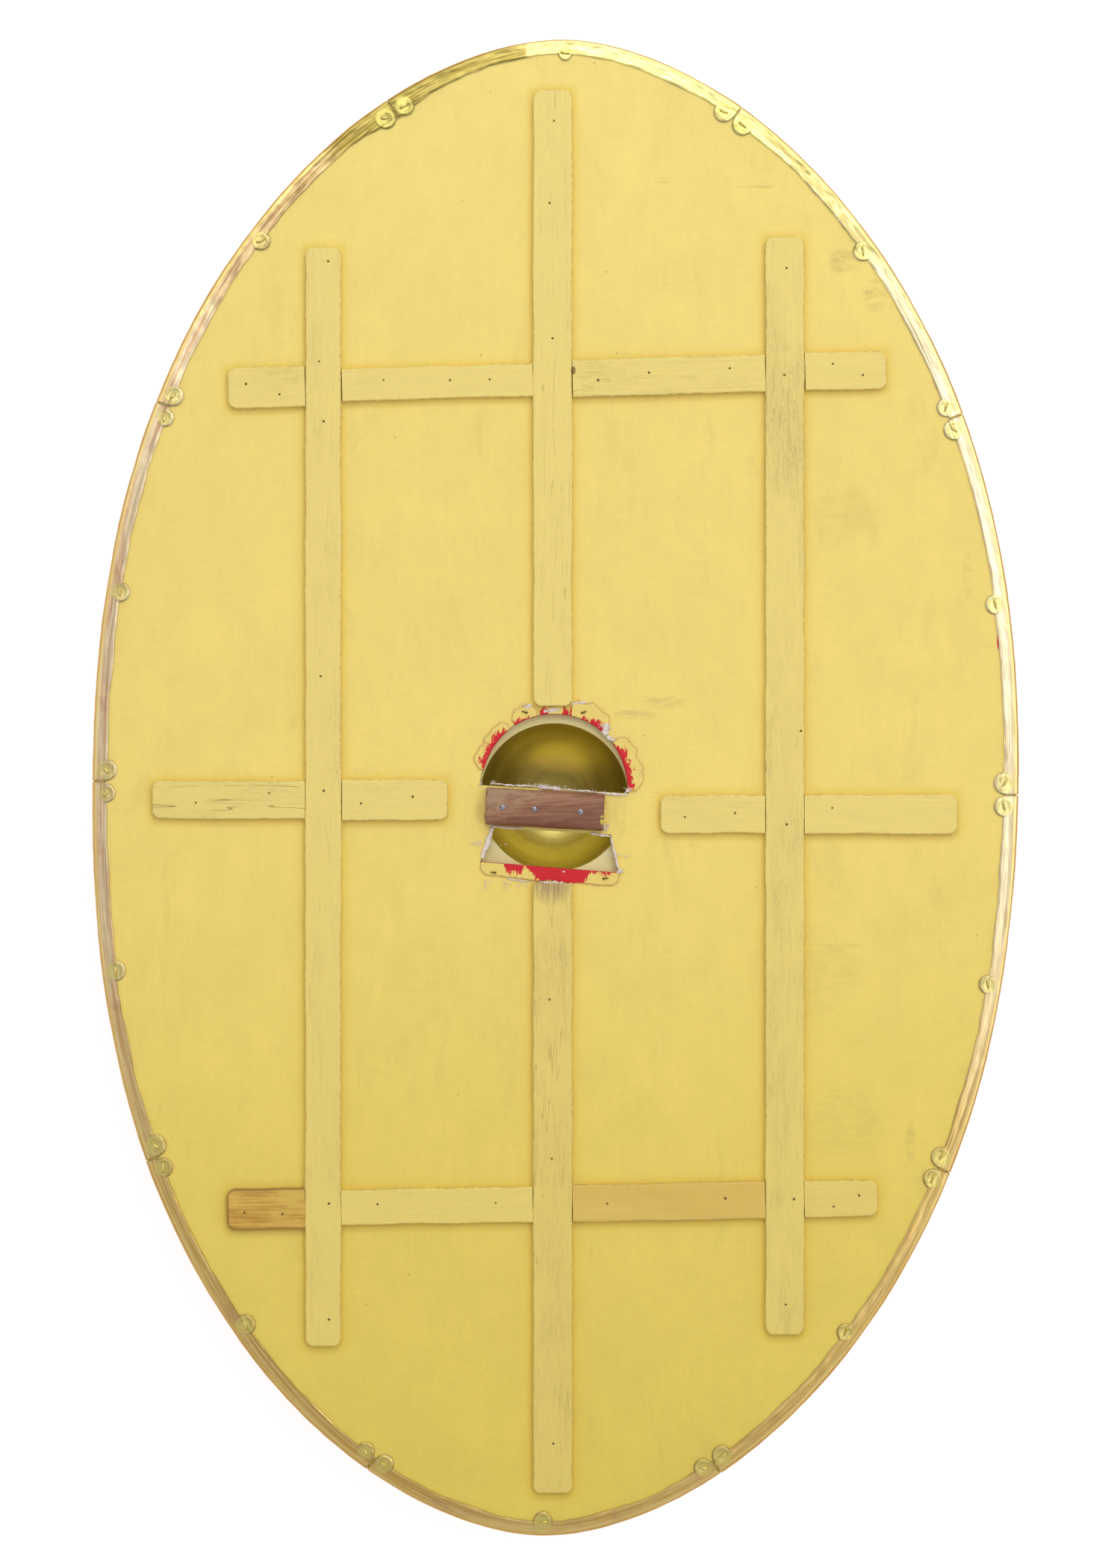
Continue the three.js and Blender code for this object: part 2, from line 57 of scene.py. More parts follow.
# Sheets and fits
BOARD_THICKNESS = 8
CLOTH_THICKNESS = 0.8
GAP = 0.3
BOARD_INSET = 1.3
CLOTH_BACK = -BOARD_THICKNESS - GAP
CLOTH_FRONT = CLOTH_BACK - CLOTH_THICKNESS

# Brass edging
EDGING_LENGTHS = 10
EDGING_FLANGE = 11.6
EDGING_SHEET = 0.9
LOBE_RADIUS = 7.7
LOBE_FROM_JOINT = 9
LOBE_DEPTH = 10.9
SEAM = 0.45

# Hand hole
HOLE_CENTRE_Y = -4
HOLE_SLOPE = math.radians(-3.2)
ARCH_RADIUS = 60
ARCH_TOP_RADIUS = 60.5
ARCH_SQUEEZE = 4.2
ARCH_BASE = 3.1
BRIDGE_HEIGHT = 32
FINGER_TOP = ARCH_BASE - BRIDGE_HEIGHT
FINGER_BOTTOM = FINGER_TOP - 29
FINGER_HALF_TOP = 44.5
FINGER_HALF_BOTTOM = 53
FINGER_LEFT_RISE = 2.6
TAB_REACH = 11
STRIP_REACH = 10.5

# Grip
GRIP_LENGTH = 90
GRIP_WIDTH = 28.4
GRIP_RAISED = 0.5
GRIP_TOP = 13.3
GRIP_X = -6.2
BRIDGE_MIDDLE = ARCH_BASE - BRIDGE_HEIGHT / 2

# Boss
BOSS_Y = -7.1
BOSS_SHEET = 1.5
FLANGE_BACK = CLOTH_FRONT - GAP
DOME_RADIUS = 56.7
DOME_DEPTH = 52
BOSS_FLANGE_RADIUS = 90

# The photo's scale, and the pixel that shows the middle of the outline
MM_PER_PIXEL = 0.57
MIDDLE_PIXEL = (742, 1055.5)
PHOTO_PIXELS = (1500, 2100)

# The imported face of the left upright, which says where the leaning shield lies in the row frame
FACE_MOUNT = "left_upright_face"
FACE_POINT = np.array((-176.0, 120.0, 5.3))
MM = 0.001
mount = next(m for m in frame["record"]["mounts"] if m["name"] == FACE_MOUNT)
rest_lean = math.atan2(mount["axis"][1], mount["axis"][2])
LEAN_TURN = np.array(Matrix.Rotation(-rest_lean, 3, "X"))
row_origin = np.array(mount["pos_m"]) - LEAN_TURN @ FACE_POINT * MM


def to_row(points):
    return np.asarray(points, float).reshape(-1, 3) @ LEAN_TURN.T * MM + row_origin


def to_shield(points):
    return (np.asarray(points, float) - row_origin) @ LEAN_TURN / MM


def photo(px, py):
    """The shield's place that a pixel of the photo shows."""
    return np.array(((px - MIDDLE_PIXEL[0]) * MM_PER_PIXEL, (MIDDLE_PIXEL[1] - py) * MM_PER_PIXEL))


def swell(x, y, size_x, size_y, seed):
    """Smooth noise between about -1 and 1, of the given wave sizes, at each place."""
    x, y = np.broadcast_arrays(np.asarray(x, float), np.asarray(y, float))
    flat = [noise.noise((a / size_x, b / size_y, 7.31 * seed + 0.5)) for a, b in zip(x.ravel(), y.ravel())]
    return np.array(flat).reshape(x.shape) * 1.6


def towards(heading):
    """A step of 1 in a heading given in radians."""
    return np.array((math.cos(heading), math.sin(heading)))


def smooth_step(value, low, high):
    t = np.clip((np.asarray(value, float) - low) / (high - low), 0, 1)
    return t * t * (3 - 2 * t)


# Meshes


def loft(rings):
    """A closed body through matching closed rings, an array of rings by points by 3."""
    rings = np.asarray(rings, float)
    count, size = rings.shape[:2]
    faces = []
    for i in range(count - 1):
        for j in range(size):
            a, b = i * size + j, i * size + (j + 1) % size
            faces.append((a, b, b + size, a + size))
    last = (count - 1) * size
    faces.append(tuple(reversed(range(size))))
    faces.append(tuple(last + j for j in range(size)))
    return rings.reshape(-1, 3), faces


def lathe(profile, around, centre):
    """A body turned about Z, from a profile of (radius, z) whose ends lie on the axis."""
    turns = np.linspace(0, 2 * np.pi, around, endpoint=False)
    inner = np.array(profile[1:-1])
    circle = np.column_stack([np.cos(turns), np.sin(turns)])
    rings = np.concatenate(
        [inner[:, None, :1] * circle, np.repeat(inner[:, None, 1:], around, axis=1)], axis=2
    ).reshape(-1, 3)
    ends = np.array([(0, 0, profile[0][1]), (0, 0, profile[-1][1])])
    points = np.concatenate([rings, ends]) + np.array((centre[0], centre[1], 0))
    faces = []
    for i in range(len(inner) - 1):
        for j in range(around):
            a, b = i * around + j, i * around + (j + 1) % around
            faces.append((a, b, b + around, a + around))
    first, end = len(rings), len(rings) + 1
    last = (len(inner) - 1) * around
    for j in range(around):
        faces.append((first, (j + 1) % around, j))
        faces.append((end, last + j, last + (j + 1) % around))
    return points, faces


def tube(path, radii, sides):
    """A round rod along a path, with its own radius at each point."""
    path = np.asarray(path, float)
    along = np.gradient(path, axis=0)
    along /= np.linalg.norm(along, axis=1, keepdims=True)
    side = np.array((0.31, 0.52, 0.79))
    turns = np.linspace(0, 2 * np.pi, sides, endpoint=False)
    rings = []
    for place, way, radius in zip(path, along, radii):
        side = side - way * (side @ way)
        side /= np.linalg.norm(side)
        up = np.cross(way, side)
        rings.append(place + radius * (np.outer(np.cos(turns), side) + np.outer(np.sin(turns), up)))
    return loft(rings)


def joined(bodies):
    points, faces, start = [], [], 0
    for body_points, body_faces in bodies:
        points.append(np.asarray(body_points, float))
        faces += [tuple(start + i for i in face) for face in body_faces]
        start += len(body_points)
    return np.concatenate(points), faces


def placed(name, data):
    """A new object of the scene, at the origin."""
    made = bpy.data.objects.new(name, data)
    bpy.context.scene.collection.objects.link(made)
    return made


def piece(name, body, finish, stands_for=(), marks=None, sharp_degrees=35):
    """A body as an object of the shield: marks are values that its finish reads, one for each point."""
    points, faces = body
    mesh = bpy.data.meshes.new(name)
    mesh.from_pydata(to_row(points).tolist(), [], faces)
    for mark, values in (marks or {}).items():
        values = np.asarray(values, np.float32)
        kind, field = ("FLOAT", "value") if values.ndim == 1 else ("FLOAT_VECTOR", "vector")
        mesh.attributes.new(mark, kind, "POINT").data.foreach_set(field, values.ravel())
    shaped = bmesh.new()
    shaped.from_mesh(mesh)
    bmesh.ops.recalc_face_normals(shaped, faces=shaped.faces)
    shaped.to_mesh(mesh)
    shaped.free()
    mesh.shade_smooth()
    mesh.set_sharp_from_angle(angle=math.radians(sharp_degrees))
    made = placed(name, mesh)
    mesh.materials.append(finish)
    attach(made, "root")
    if stands_for:
        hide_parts(*stands_for)
    return made


# Finishes


def linear(red, green, blue):
    """A colour given as it looks on a screen, 0 to 255, as the shader takes it."""
    shares = [c / 255 for c in (red, green, blue)]
    return tuple(s / 12.92 if s <= 0.04045 else ((s + 0.055) / 1.055) ** 2.4 for s in shares)


class Flow:
    """A value on its way through a finish. Sums and products of flows make Math nodes."""

    def __init__(self, finish, socket):
        self.finish = finish
        self.socket = socket

    def maths(self, operation, *values):
        return self.finish.node("ShaderNodeMath", {"operation": operation}, dict(enumerate(values)))

    def __add__(self, other):
        return self.maths("ADD", self, other)

    def __radd__(self, other):
        return self.maths("ADD", other, self)

    def __sub__(self, other):
        return self.maths("SUBTRACT", self, other)

    def __rsub__(self, other):
        return self.maths("SUBTRACT", other, self)

    def __mul__(self, other):
        return self.maths("MULTIPLY", self, other)

    def __rmul__(self, other):
        return self.maths("MULTIPLY", other, self)

    def __truediv__(self, other):
        return self.maths("DIVIDE", self, other)

    def __rtruediv__(self, other):
        return self.maths("DIVIDE", other, self)

    def __abs__(self):
        return self.maths("ABSOLUTE", self)

    def root(self):
        return self.maths("SQRT", self)

    def sine(self):
        return self.maths("SINE", self)

    def at_least(self, other):
        return self.maths("MAXIMUM", self, other)

    def at_most(self, other):
        return self.maths("MINIMUM", self, other)

    def rise(self, low, high):
        """0 up to low and 1 from high, with a smooth rise between; high may be the lesser."""
        ends = {"Value": self, "From Min": low, "From Max": high, "To Min": 0.0, "To Max": 1.0}
        return self.finish.node("ShaderNodeMapRange", {"interpolation_type": "SMOOTHSTEP"}, ends, "Result")


class Finish:
    """A material of the shield, with its shader and the nodes that feed it."""

    def __init__(self, name, **constants):
        self.material = bpy.data.materials.new(name)
        self.material.use_nodes = True
        self.tree = self.material.node_tree
        self.shader = self.tree.nodes["Principled BSDF"]
        for socket, value in constants.items():
            self.put(socket.replace("_", " "), value)
        # The place in the shield frame, in millimetres
        place = self.node("ShaderNodeTexCoord", output="Object")
        turned = Matrix.Rotation(rest_lean, 3, "X").to_euler()
        moved = self.vector("SUBTRACT", place, tuple(row_origin))
        spun = self.node(
            "ShaderNodeVectorRotate",
            {"rotation_type": "EULER_XYZ"},
            {"Vector": moved, "Rotation": tuple(turned)},
            "Vector",
        )
        self.place = self.vector("SCALE", spun, Scale=1 / MM)
        self.x, self.y, self.z = self.parts(self.place)

    def node(self, kind, settings=None, values=None, output=0):
        made = self.tree.nodes.new(kind)
        for name, setting in (settings or {}).items():
            if name == "stops":
                self.stops(made.color_ramp, setting)
            else:
                setattr(made, name, setting)
        for name, value in (values or {}).items():
            self.feed(self.pick(made.inputs, name), value)
        return Flow(self, self.pick(made.outputs, output))

    @staticmethod
    def pick(sockets, name):
        if isinstance(name, int):
            return sockets[name]
        return next(s for s in sockets if s.name == name and s.enabled)

    @staticmethod
    def stops(ramp, stops):
        for place, _ in stops[1:-1]:
            ramp.elements.new(place)
        for element, (place, colour) in zip(ramp.elements, stops):
            element.position = place
            element.color = (*colour, 1)

    def feed(self, socket, value):
        if isinstance(value, Flow):
            self.tree.links.new(value.socket, socket)
        elif socket.type == "RGBA" and len(value) == 3:
            socket.default_value = (*value, 1)
        else:
            socket.default_value = value

    def put(self, socket, value):
        words = [w if w.isupper() else w.capitalize() for w in socket.split()]
        self.feed(self.shader.inputs[" ".join(words)], value)

    def parts(self, vector):
        split = self.node("ShaderNodeSeparateXYZ", None, {"Vector": vector}).socket.node
        return [Flow(self, out) for out in split.outputs]

    def combined(self, x, y, z):
        return self.node("ShaderNodeCombineXYZ", None, {"X": x, "Y": y, "Z": z})

    def vector(self, operation, *vectors, **named):
        values = {**dict(enumerate(vectors)), **named}
        return self.node("ShaderNodeVectorMath", {"operation": operation}, values, "Vector")

    def mark(self, name, output="Fac"):
        return self.node("ShaderNodeAttribute", {"attribute_name": name}, None, output)

    def cloud(self, place, scale=1.0, detail=2.0, roughness=0.5, warp=0.0):
        """Noise from 0 to 1, one wave to each unit of the place over the scale."""
        values = {
            "Vector": place,
            "Scale": scale,
            "Detail": detail,
            "Roughness": roughness,
            "Distortion": warp,
        }
        return self.node("ShaderNodeTexNoise", None, values, 0)

    def drawn(self, place, x, y, detail, roughness=0.5, warp=0.0):
        """Noise drawn out, with x and y waves to each millimetre across and along the place."""
        return self.cloud(self.vector("MULTIPLY", place, (x, y, 1)), 1, detail, roughness, warp)

    def mix(self, share, first, second):
        values = {"Factor": share, "A": first, "B": second}
        return self.node("ShaderNodeMix", {"data_type": "RGBA"}, values, "Result")

    def ramp(self, share, *stops):
        return self.node("ShaderNodeValToRGB", {"stops": stops}, {"Fac": share}, "Color")

    def shade(self, colour, value):
        """The colour made lighter or darker by a value about 1."""
        return self.vector("SCALE", colour, Scale=value)

    def relief(self, height):
        """Raises the surface by a height in millimetres."""
        self.put("normal", self.node("ShaderNodeBump", None, {"Height": height, "Distance": MM}, "Normal"))

    def spot(self, pixel, radius_x, radius_y, soft):
        """1 in an oval patch about the place that a pixel shows, fading to 0 at its edge."""
        at = photo(*pixel)
        across = (self.x - float(at[0])) / radius_x
        along = (self.y - float(at[1])) / radius_y
        return (across * across + along * along).rise(1.0, 1.0 - soft)


# Painted shade: the paint goes from a light tone at the top of the shield to a deeper one at the foot, as the
# light from above falls off down it
PAINT_TOP = linear(242, 222, 129)
PAINT_UPPER = linear(241, 218, 123)
PAINT_MIDDLE = linear(241, 218, 121)
PAINT_LOWER = linear(233, 210, 103)
PAINT_FOOT = linear(223, 201, 89)
PAINT_LIGHT = 0.945


def yellow_paint_with_painted_shade(finish):
    """The yellow paint's colour, with painted shade that deepens it down the shield."""
    up = finish.y / OVERALL_HEIGHT + 0.5
    stops = [
        (0.0, PAINT_FOOT),
        (0.25, PAINT_LOWER),
        (0.5, PAINT_MIDDLE),
        (0.75, PAINT_UPPER),
        (1.0, PAINT_TOP),
    ]
    return finish.shade(finish.ramp(up, *stops), PAINT_LIGHT)


# Where the photo shows marks that a finish carries
RED_FLECK_PIXEL = (1337, 858)
BRUSHED_TIP_PIXEL = (737, 1172)
KNOT_PIXEL = (768, 497)
WORN_ROW = 560
GRIP_PAINT_PIXEL = (806, 1098)
# A painted darker reflection on the upper left edging
BROWN_EDGING_PIXEL = (380, 300)
OLIVE_EDGING_PIXEL = (590, 150)
OLIVE_END_COLUMNS = (708, 703)
TAN_EDGING_PIXEL = (1110, 250)
# The painted highlight inside the dome
DOME_HIGHLIGHT_PIXEL = (753, 1012)
# Smudges as pixel, half width and half height in pixels, and strength
SMUDGE_PIXELS = [
    (890, 242, 16, 5, 0.35),
    (1012, 250, 34, 3, 0.3),
    (1128, 350, 22, 22, 0.4),
    (1172, 395, 20, 26, 0.4),
    (1085, 1300, 90, 70, 0.14),
    (1130, 1500, 60, 60, 0.14),
    (890, 940, 34, 12, 0.32),
    (850, 957, 36, 9, 0.35),
    (833, 1110, 6, 14, 0.3),
    (1220, 1530, 9, 34, 0.28),
    (640, 1085, 7, 20, 0.22),
    (1296, 770, 8, 40, 0.2),
    (1128, 1270, 40, 10, 0.14),
    (560, 1300, 60, 60, 0.08),
    (1130, 690, 50, 50, 0.1),
]


def painted_board():
    finish = Finish("painted_board", roughness=0.62, specular_IOR_level=0.3)
    paint = yellow_paint_with_painted_shade(finish)
    blotch = finish.cloud(finish.place, 0.012, 3, 0.55)
    fine = finish.cloud(finish.place, 0.22, 2, 0.6)
    mottle = finish.drawn(finish.place, 0.04, 0.03, 4, 0.6, 0.4)
    threads_across = finish.drawn(finish.place, 0.05, 0.62, 2, 0.65)
    threads_along = finish.drawn(finish.place, 0.55, 0.03, 2, 0.65)
    brushed = finish.drawn(finish.place, 0.16, 0.012, 3, 0.6)
    tone = 1 + (blotch - 0.5) * 0.12 + (mottle - 0.5) * 0.12 + (fine - 0.5) * 0.05
    tone = tone + (threads_across - 0.5) * 0.07 + (threads_along - 0.5) * 0.05 + (brushed - 0.5) * 0.06
    colour = finish.shade(paint, tone)
    grime = finish.drawn(finish.place, 0.03, 0.012, 5, 0.65, 0.5)
    colour = finish.mix(grime.rise(0.56, 0.74) * 0.2, colour, linear(190, 170, 104))
    rub = finish.drawn(finish.place, 0.05, 0.16, 4, 0.7)
    for px, py, wide, high, strength in SMUDGE_PIXELS:
        patch = finish.spot((px, py), wide * MM_PER_PIXEL, high * MM_PER_PIXEL, 0.9)
        share = patch * rub.rise(0.35, 0.62) * strength
        colour = finish.mix(share, colour, linear(168, 150, 92))
    specks = finish.node("ShaderNodeTexVoronoi", None, {"Vector": finish.place, "Scale": 0.028}, "Distance")
    colour = finish.mix(specks.rise(0.035, 0.018) * 0.45, colour, linear(170, 130, 55))
    red_fleck = finish.spot(RED_FLECK_PIXEL, 1.2, 8, 0.5)
    colour = finish.mix(red_fleck * rub.rise(0.3, 0.45), colour, linear(205, 60, 60))
    # Painted shade: a deeper, darker yellow beside the battens, fading out over about 8 mm from them
    beside = finish.mark("beside")
    painted_shade_by_battens = beside.rise(8.5, -3.0) * (0.85 + mottle * 0.3)
    colour = finish.mix(painted_shade_by_battens * 0.52, colour, linear(222, 190, 66))
    finish.put("base color", colour)
    finish.relief(threads_across * 0.16 + threads_along * 0.15 + fine * 0.1 + mottle * 0.2)
    return finish.material


def painted_batten():
    """Thin paint over wood: grain, scratches and brush marks show, and edges are rubbed."""
    finish = Finish("painted_batten", roughness=0.66, specular_IOR_level=0.3)
    run = finish.mark("run", "Vector")
    edge = finish.mark("edge")
    worn = finish.mark("worn")
    brown = finish.mark("brown")
    cracked = finish.mark("cracked")
    paint = finish.mix(0.45, yellow_paint_with_painted_shade(finish), linear(228, 210, 132))
    grain = finish.drawn(run, 0.02, 0.42, 4, 0.65, 0.4)
    hairs = finish.drawn(run, 0.07, 1.3, 4, 0.75, 0.5)
    scratches = finish.drawn(run, 0.3, 0.55, 5, 0.8, 1.2)
    patch = finish.drawn(run, 0.018, 0.05, 3, 0.6)
    fine = finish.cloud(finish.place, 0.7, 3, 0.7)
    thin = (patch - 0.5) * 0.9 + worn * 0.3 - 0.12
    marks = hairs.rise(0.48, 0.68) * 0.6 + scratches.rise(0.5, 0.7) * 0.5 + 0.12
    show = (thin * 3.0 + 0.25).at_least(0.08) * marks
    colour = finish.shade(paint, 1 + (grain - 0.5) * 0.13 + (fine - 0.5) * 0.06)
    colour = finish.mix(show.at_most(0.55), colour, linear(166, 150, 98))
    brushed_tip = finish.spot(BRUSHED_TIP_PIXEL, 19, 26, 0.9) * hairs.rise(0.34, 0.56)
    colour = finish.mix(brushed_tip * 0.85, colour, linear(150, 122, 100))
    colour = finish.mix(brown * (0.35 + patch * 0.5), colour, linear(204, 158, 66))
    line = abs(finish.drawn(run, 0.0045, 0.1, 2, 0.45, 0.2) - 0.5)
    broken = finish.drawn(run, 0.045, 0.12, 2, 0.5).rise(0.46, 0.56)
    crack = line.rise(0.006, 0.0015) * cracked * broken
    colour = finish.mix(crack * 0.8, colour, linear(128, 104, 52))
    rub = finish.cloud(finish.place, 0.3, 3, 0.7)
    rubbed_edge = edge.rise(1.1, 0.2) * rub.rise(0.44, 0.58)
    colour = finish.mix(rubbed_edge * 0.6, colour, linear(170, 150, 90))
    knot = finish.spot(KNOT_PIXEL, 1.9, 3.6, 0.5)
    colour = finish.mix(knot * 0.85, colour, linear(122, 82, 40))
    finish.put("base color", colour)
    finish.relief(grain * 0.3 + hairs * 0.16 - show * 0.1 - crack * 0.3)
    return finish.material


def bare_batten():
    """Brown wood with a thin wash of yellow, and rough dark edges."""
    finish = Finish("bare_batten", roughness=0.7, specular_IOR_level=0.3)
    run = finish.mark("run", "Vector")
    edge = finish.mark("edge")
    grain = finish.drawn(run, 0.014, 0.5, 5, 0.65, 0.6)
    hairs = finish.drawn(run, 0.03, 1.6, 3, 0.7)
    wash = finish.drawn(run, 0.03, 0.06, 3, 0.6)
    wood = finish.mix(grain.rise(0.35, 0.65), linear(176, 130, 54), linear(212, 176, 84))
    colour = finish.mix(wash.rise(0.42, 0.7) * 0.6, wood, linear(220, 190, 92))
    colour = finish.mix(hairs.rise(0.58, 0.72) * 0.5, colour, linear(138, 92, 42))
    colour = finish.mix(edge.rise(2.6, 0.3) * 0.75, colour, linear(136, 92, 44))
    finish.put("base color", colour)
    finish.relief(grain * 0.3 + hairs * 0.22)
    return finish.material


def grip_wood():
    """Reddish brown wood, worn grey at its left end and along its upper edge."""
    finish = Finish("grip_wood", roughness=0.5, specular_IOR_level=0.4)
    run = finish.mark("run", "Vector")
    along, across, _ = finish.parts(run)
    sloped = finish.combined(along * 0.03, across * 0.34 - along * 0.045, 1.7)
    grain = finish.cloud(sloped, 1, 4, 0.5, 0.8)
    pores = finish.cloud(finish.combined(along * 0.09, across * 1.6 - along * 0.16, 4.2), 1, 3, 0.7)
    colour = finish.mix(grain.rise(0.3, 0.7), linear(118, 74, 52), linear(158, 112, 82))
    colour = finish.mix(pores.rise(0.54, 0.7) * 0.5, colour, linear(100, 60, 44))
    scuff = finish.cloud(finish.combined(along * 0.12, across * 0.2, 8.3), 1, 4, 0.7)
    grey = (along * -0.026 + across * 0.045 + (scuff - 0.5) * 2.4 - 0.3).rise(0.0, 1.0)
    colour = finish.mix(grey * 0.6, colour, linear(172, 148, 118))
    deep = (along * 0.012 - across * 0.07 + (grain - 0.5) * 1.2 + 0.1).rise(0.0, 1.0)
    colour = finish.mix(deep * 0.4, colour, linear(92, 46, 36))
    paint_left = finish.spot(GRIP_PAINT_PIXEL, 1.6, 4.2, 0.5)
    colour = finish.mix(paint_left * grain.rise(0.4, 0.5), colour, linear(198, 184, 84))
    specks = finish.node("ShaderNodeTexVoronoi", None, {"Vector": finish.place, "Scale": 0.16}, "Distance")
    colour = finish.mix(specks.rise(0.07, 0.04) * 0.6, colour, linear(205, 178, 140))
    finish.put("base color", colour)
    finish.put("roughness", 0.42 + grey * 0.2)
    finish.relief(grain * 0.25 + pores * 0.14)
    return finish.material


def red_linen():
    """Linen painted red outside. Where it is turned over, yellow paint covers all but its inner edge."""
    finish = Finish("red_linen", roughness=0.66, specular_IOR_level=0.35)
    turn = finish.mark("turn")
    red_reach = finish.mark("red_reach")
    edge = finish.mark("edge")
    strokes = finish.cloud(finish.place, 0.24, 5, 0.75, 0.9)
    flakes = finish.cloud(finish.place, 0.9, 3, 0.7)
    warp_lines = (finish.x * 7.0).sine()
    weft_lines = (finish.y * 7.0).sine()
    streaks = finish.drawn(finish.place, 0.5, 0.16, 3, 0.7)
    cover = turn - red_reach + (strokes - 0.5) * 12 + (flakes - 0.5) * 7 + (streaks - 0.5) * 13
    yellow = cover.rise(-0.4, 0.4)
    red = finish.mix(flakes, linear(186, 20, 30), linear(224, 40, 52))
    lit = finish.shade(yellow_paint_with_painted_shade(finish), 0.97 + (strokes - 0.5) * 0.12)
    colour = finish.mix(yellow, red, lit)
    torn = edge.rise(1.2, 0.2) * flakes.rise(0.34, 0.5)
    colour = finish.mix(torn * yellow * 0.7, colour, linear(188, 134, 84))
    down = finish.y - BOSS_Y
    off = (finish.x * finish.x + down * down).root()
    behind_boss = off.rise(BOSS_FLANGE_RADIUS, BOSS_FLANGE_RADIUS - 3) * turn.rise(-10, -19)
    colour = finish.mix(behind_boss, colour, linear(196, 190, 160))
    finish.put("base color", colour)
    finish.relief((warp_lines + weft_lines) * 0.03 + strokes * 0.3 + flakes * 0.12)
    return finish.material


def raw_linen():
    finish = Finish("raw_linen", roughness=0.9, sheen_weight=0.3)
    fluff = finish.cloud(finish.place, 1.1, 3, 0.7)
    finish.put("base color", finish.mix(fluff, linear(206, 190, 176), linear(243, 236, 232)))
    finish.relief(fluff * 0.5)
    return finish.material


def edging_brass():
    """Thin sheet brass, hammered over the rim and handled: bright, with painted reflections that change round
    the rim, and painted shade, dark brown, in its hollows.
    """
    finish = Finish("edging_brass", metallic=1.0)
    run = finish.mark("run", "Vector")
    hollow = finish.mark("hollow")
    lobe = finish.mark("lobe")
    _, depth, _ = finish.parts(run)
    streak = finish.drawn(run, 0.014, 0.5, 3, 0.55, 0.3)
    lines = finish.drawn(run, 0.022, 1.3, 3, 0.6, 0.2)
    stain = finish.cloud(finish.place, 0.04, 4, 0.6, 0.4)
    dents = finish.drawn(run, 0.075, 0.16, 1, 0.4)
    # Painted reflections: pinkish brown on the left, cream on the right, bright yellow at the top and a
    # darker gold towards the foot
    right = finish.x.rise(40, 240)
    top = finish.y.rise(330, 520)
    foot = finish.y.rise(-20, -330)
    plain = finish.mix(right, linear(222, 182, 142), linear(216, 202, 162))
    plain = finish.mix(foot, plain, linear(204, 168, 90))
    plain = finish.mix(top, plain, linear(222, 214, 124))
    pale = finish.mix(foot, linear(240, 226, 188), linear(224, 198, 128))
    pale = finish.mix(top, pale, linear(242, 236, 168))
    colour = finish.mix(streak.rise(0.36, 0.62), plain, pale)
    colour = finish.mix(stain.rise(0.5, 0.7) * (0.45 - right * 0.3), colour, linear(190, 148, 110))
    colour = finish.mix(lines.rise(0.52, 0.66) * 0.45, colour, linear(164, 130, 96))
    # Painted reflection: a darker brown over the upper left of the edging
    brown = finish.spot(BROWN_EDGING_PIXEL, 84, 120, 0.6)
    brown_reflection = finish.mix(streak.rise(0.4, 0.6), linear(150, 112, 76), linear(214, 180, 132))
    colour = finish.mix(brown * 0.75, colour, brown_reflection)
    olive_ends = [photo(column, 0)[0] for column in OLIVE_END_COLUMNS]
    olive = finish.spot(OLIVE_EDGING_PIXEL, 110, 84, 0.5) * finish.x.rise(*olive_ends)
    patina = finish.mix(streak.rise(0.4, 0.6), linear(124, 104, 44), linear(176, 158, 78))
    colour = finish.mix(olive * 0.9, colour, patina)
    tan = finish.spot(TAN_EDGING_PIXEL, 88, 74, 0.6)
    colour = finish.mix(tan * dents.rise(0.36, 0.56) * 0.7, colour, linear(168, 154, 92))
    # Painted highlight: a pale band on the flange just in from the fold, weaker at the foot and on the olive
    # part
    painted_fold_highlight = depth.rise(4.3, 3.0) * depth.rise(0.0, 1.0) * (1 - foot * 0.6) * (1 - olive)
    colour = finish.mix(painted_fold_highlight * 0.7, colour, linear(252, 224, 138))
    # Painted reflection: saturated gold along the rounded fold at the rim
    colour = finish.mix(abs(depth).rise(1.7, 0.9) * 0.8, colour, linear(206, 156, 84))
    # Painted highlight: the lobes lighter and yellower than the flange
    colour = finish.mix(lobe * 0.6, colour, linear(224, 214, 124))
    # Painted shade: dark olive at the flange's inner edge, at the seams and round the lobes
    colour = finish.mix(hollow * 0.85, colour, linear(96, 88, 44))
    finish.put("base color", colour)
    finish.put("roughness", 0.2 + streak * 0.1 + stain * 0.12 + hollow * 0.2)
    high = finish.y.rise(250, 480) * 1.6 + 0.5
    finish.relief(dents * 0.55 * high + lines * 0.035)
    return finish.material


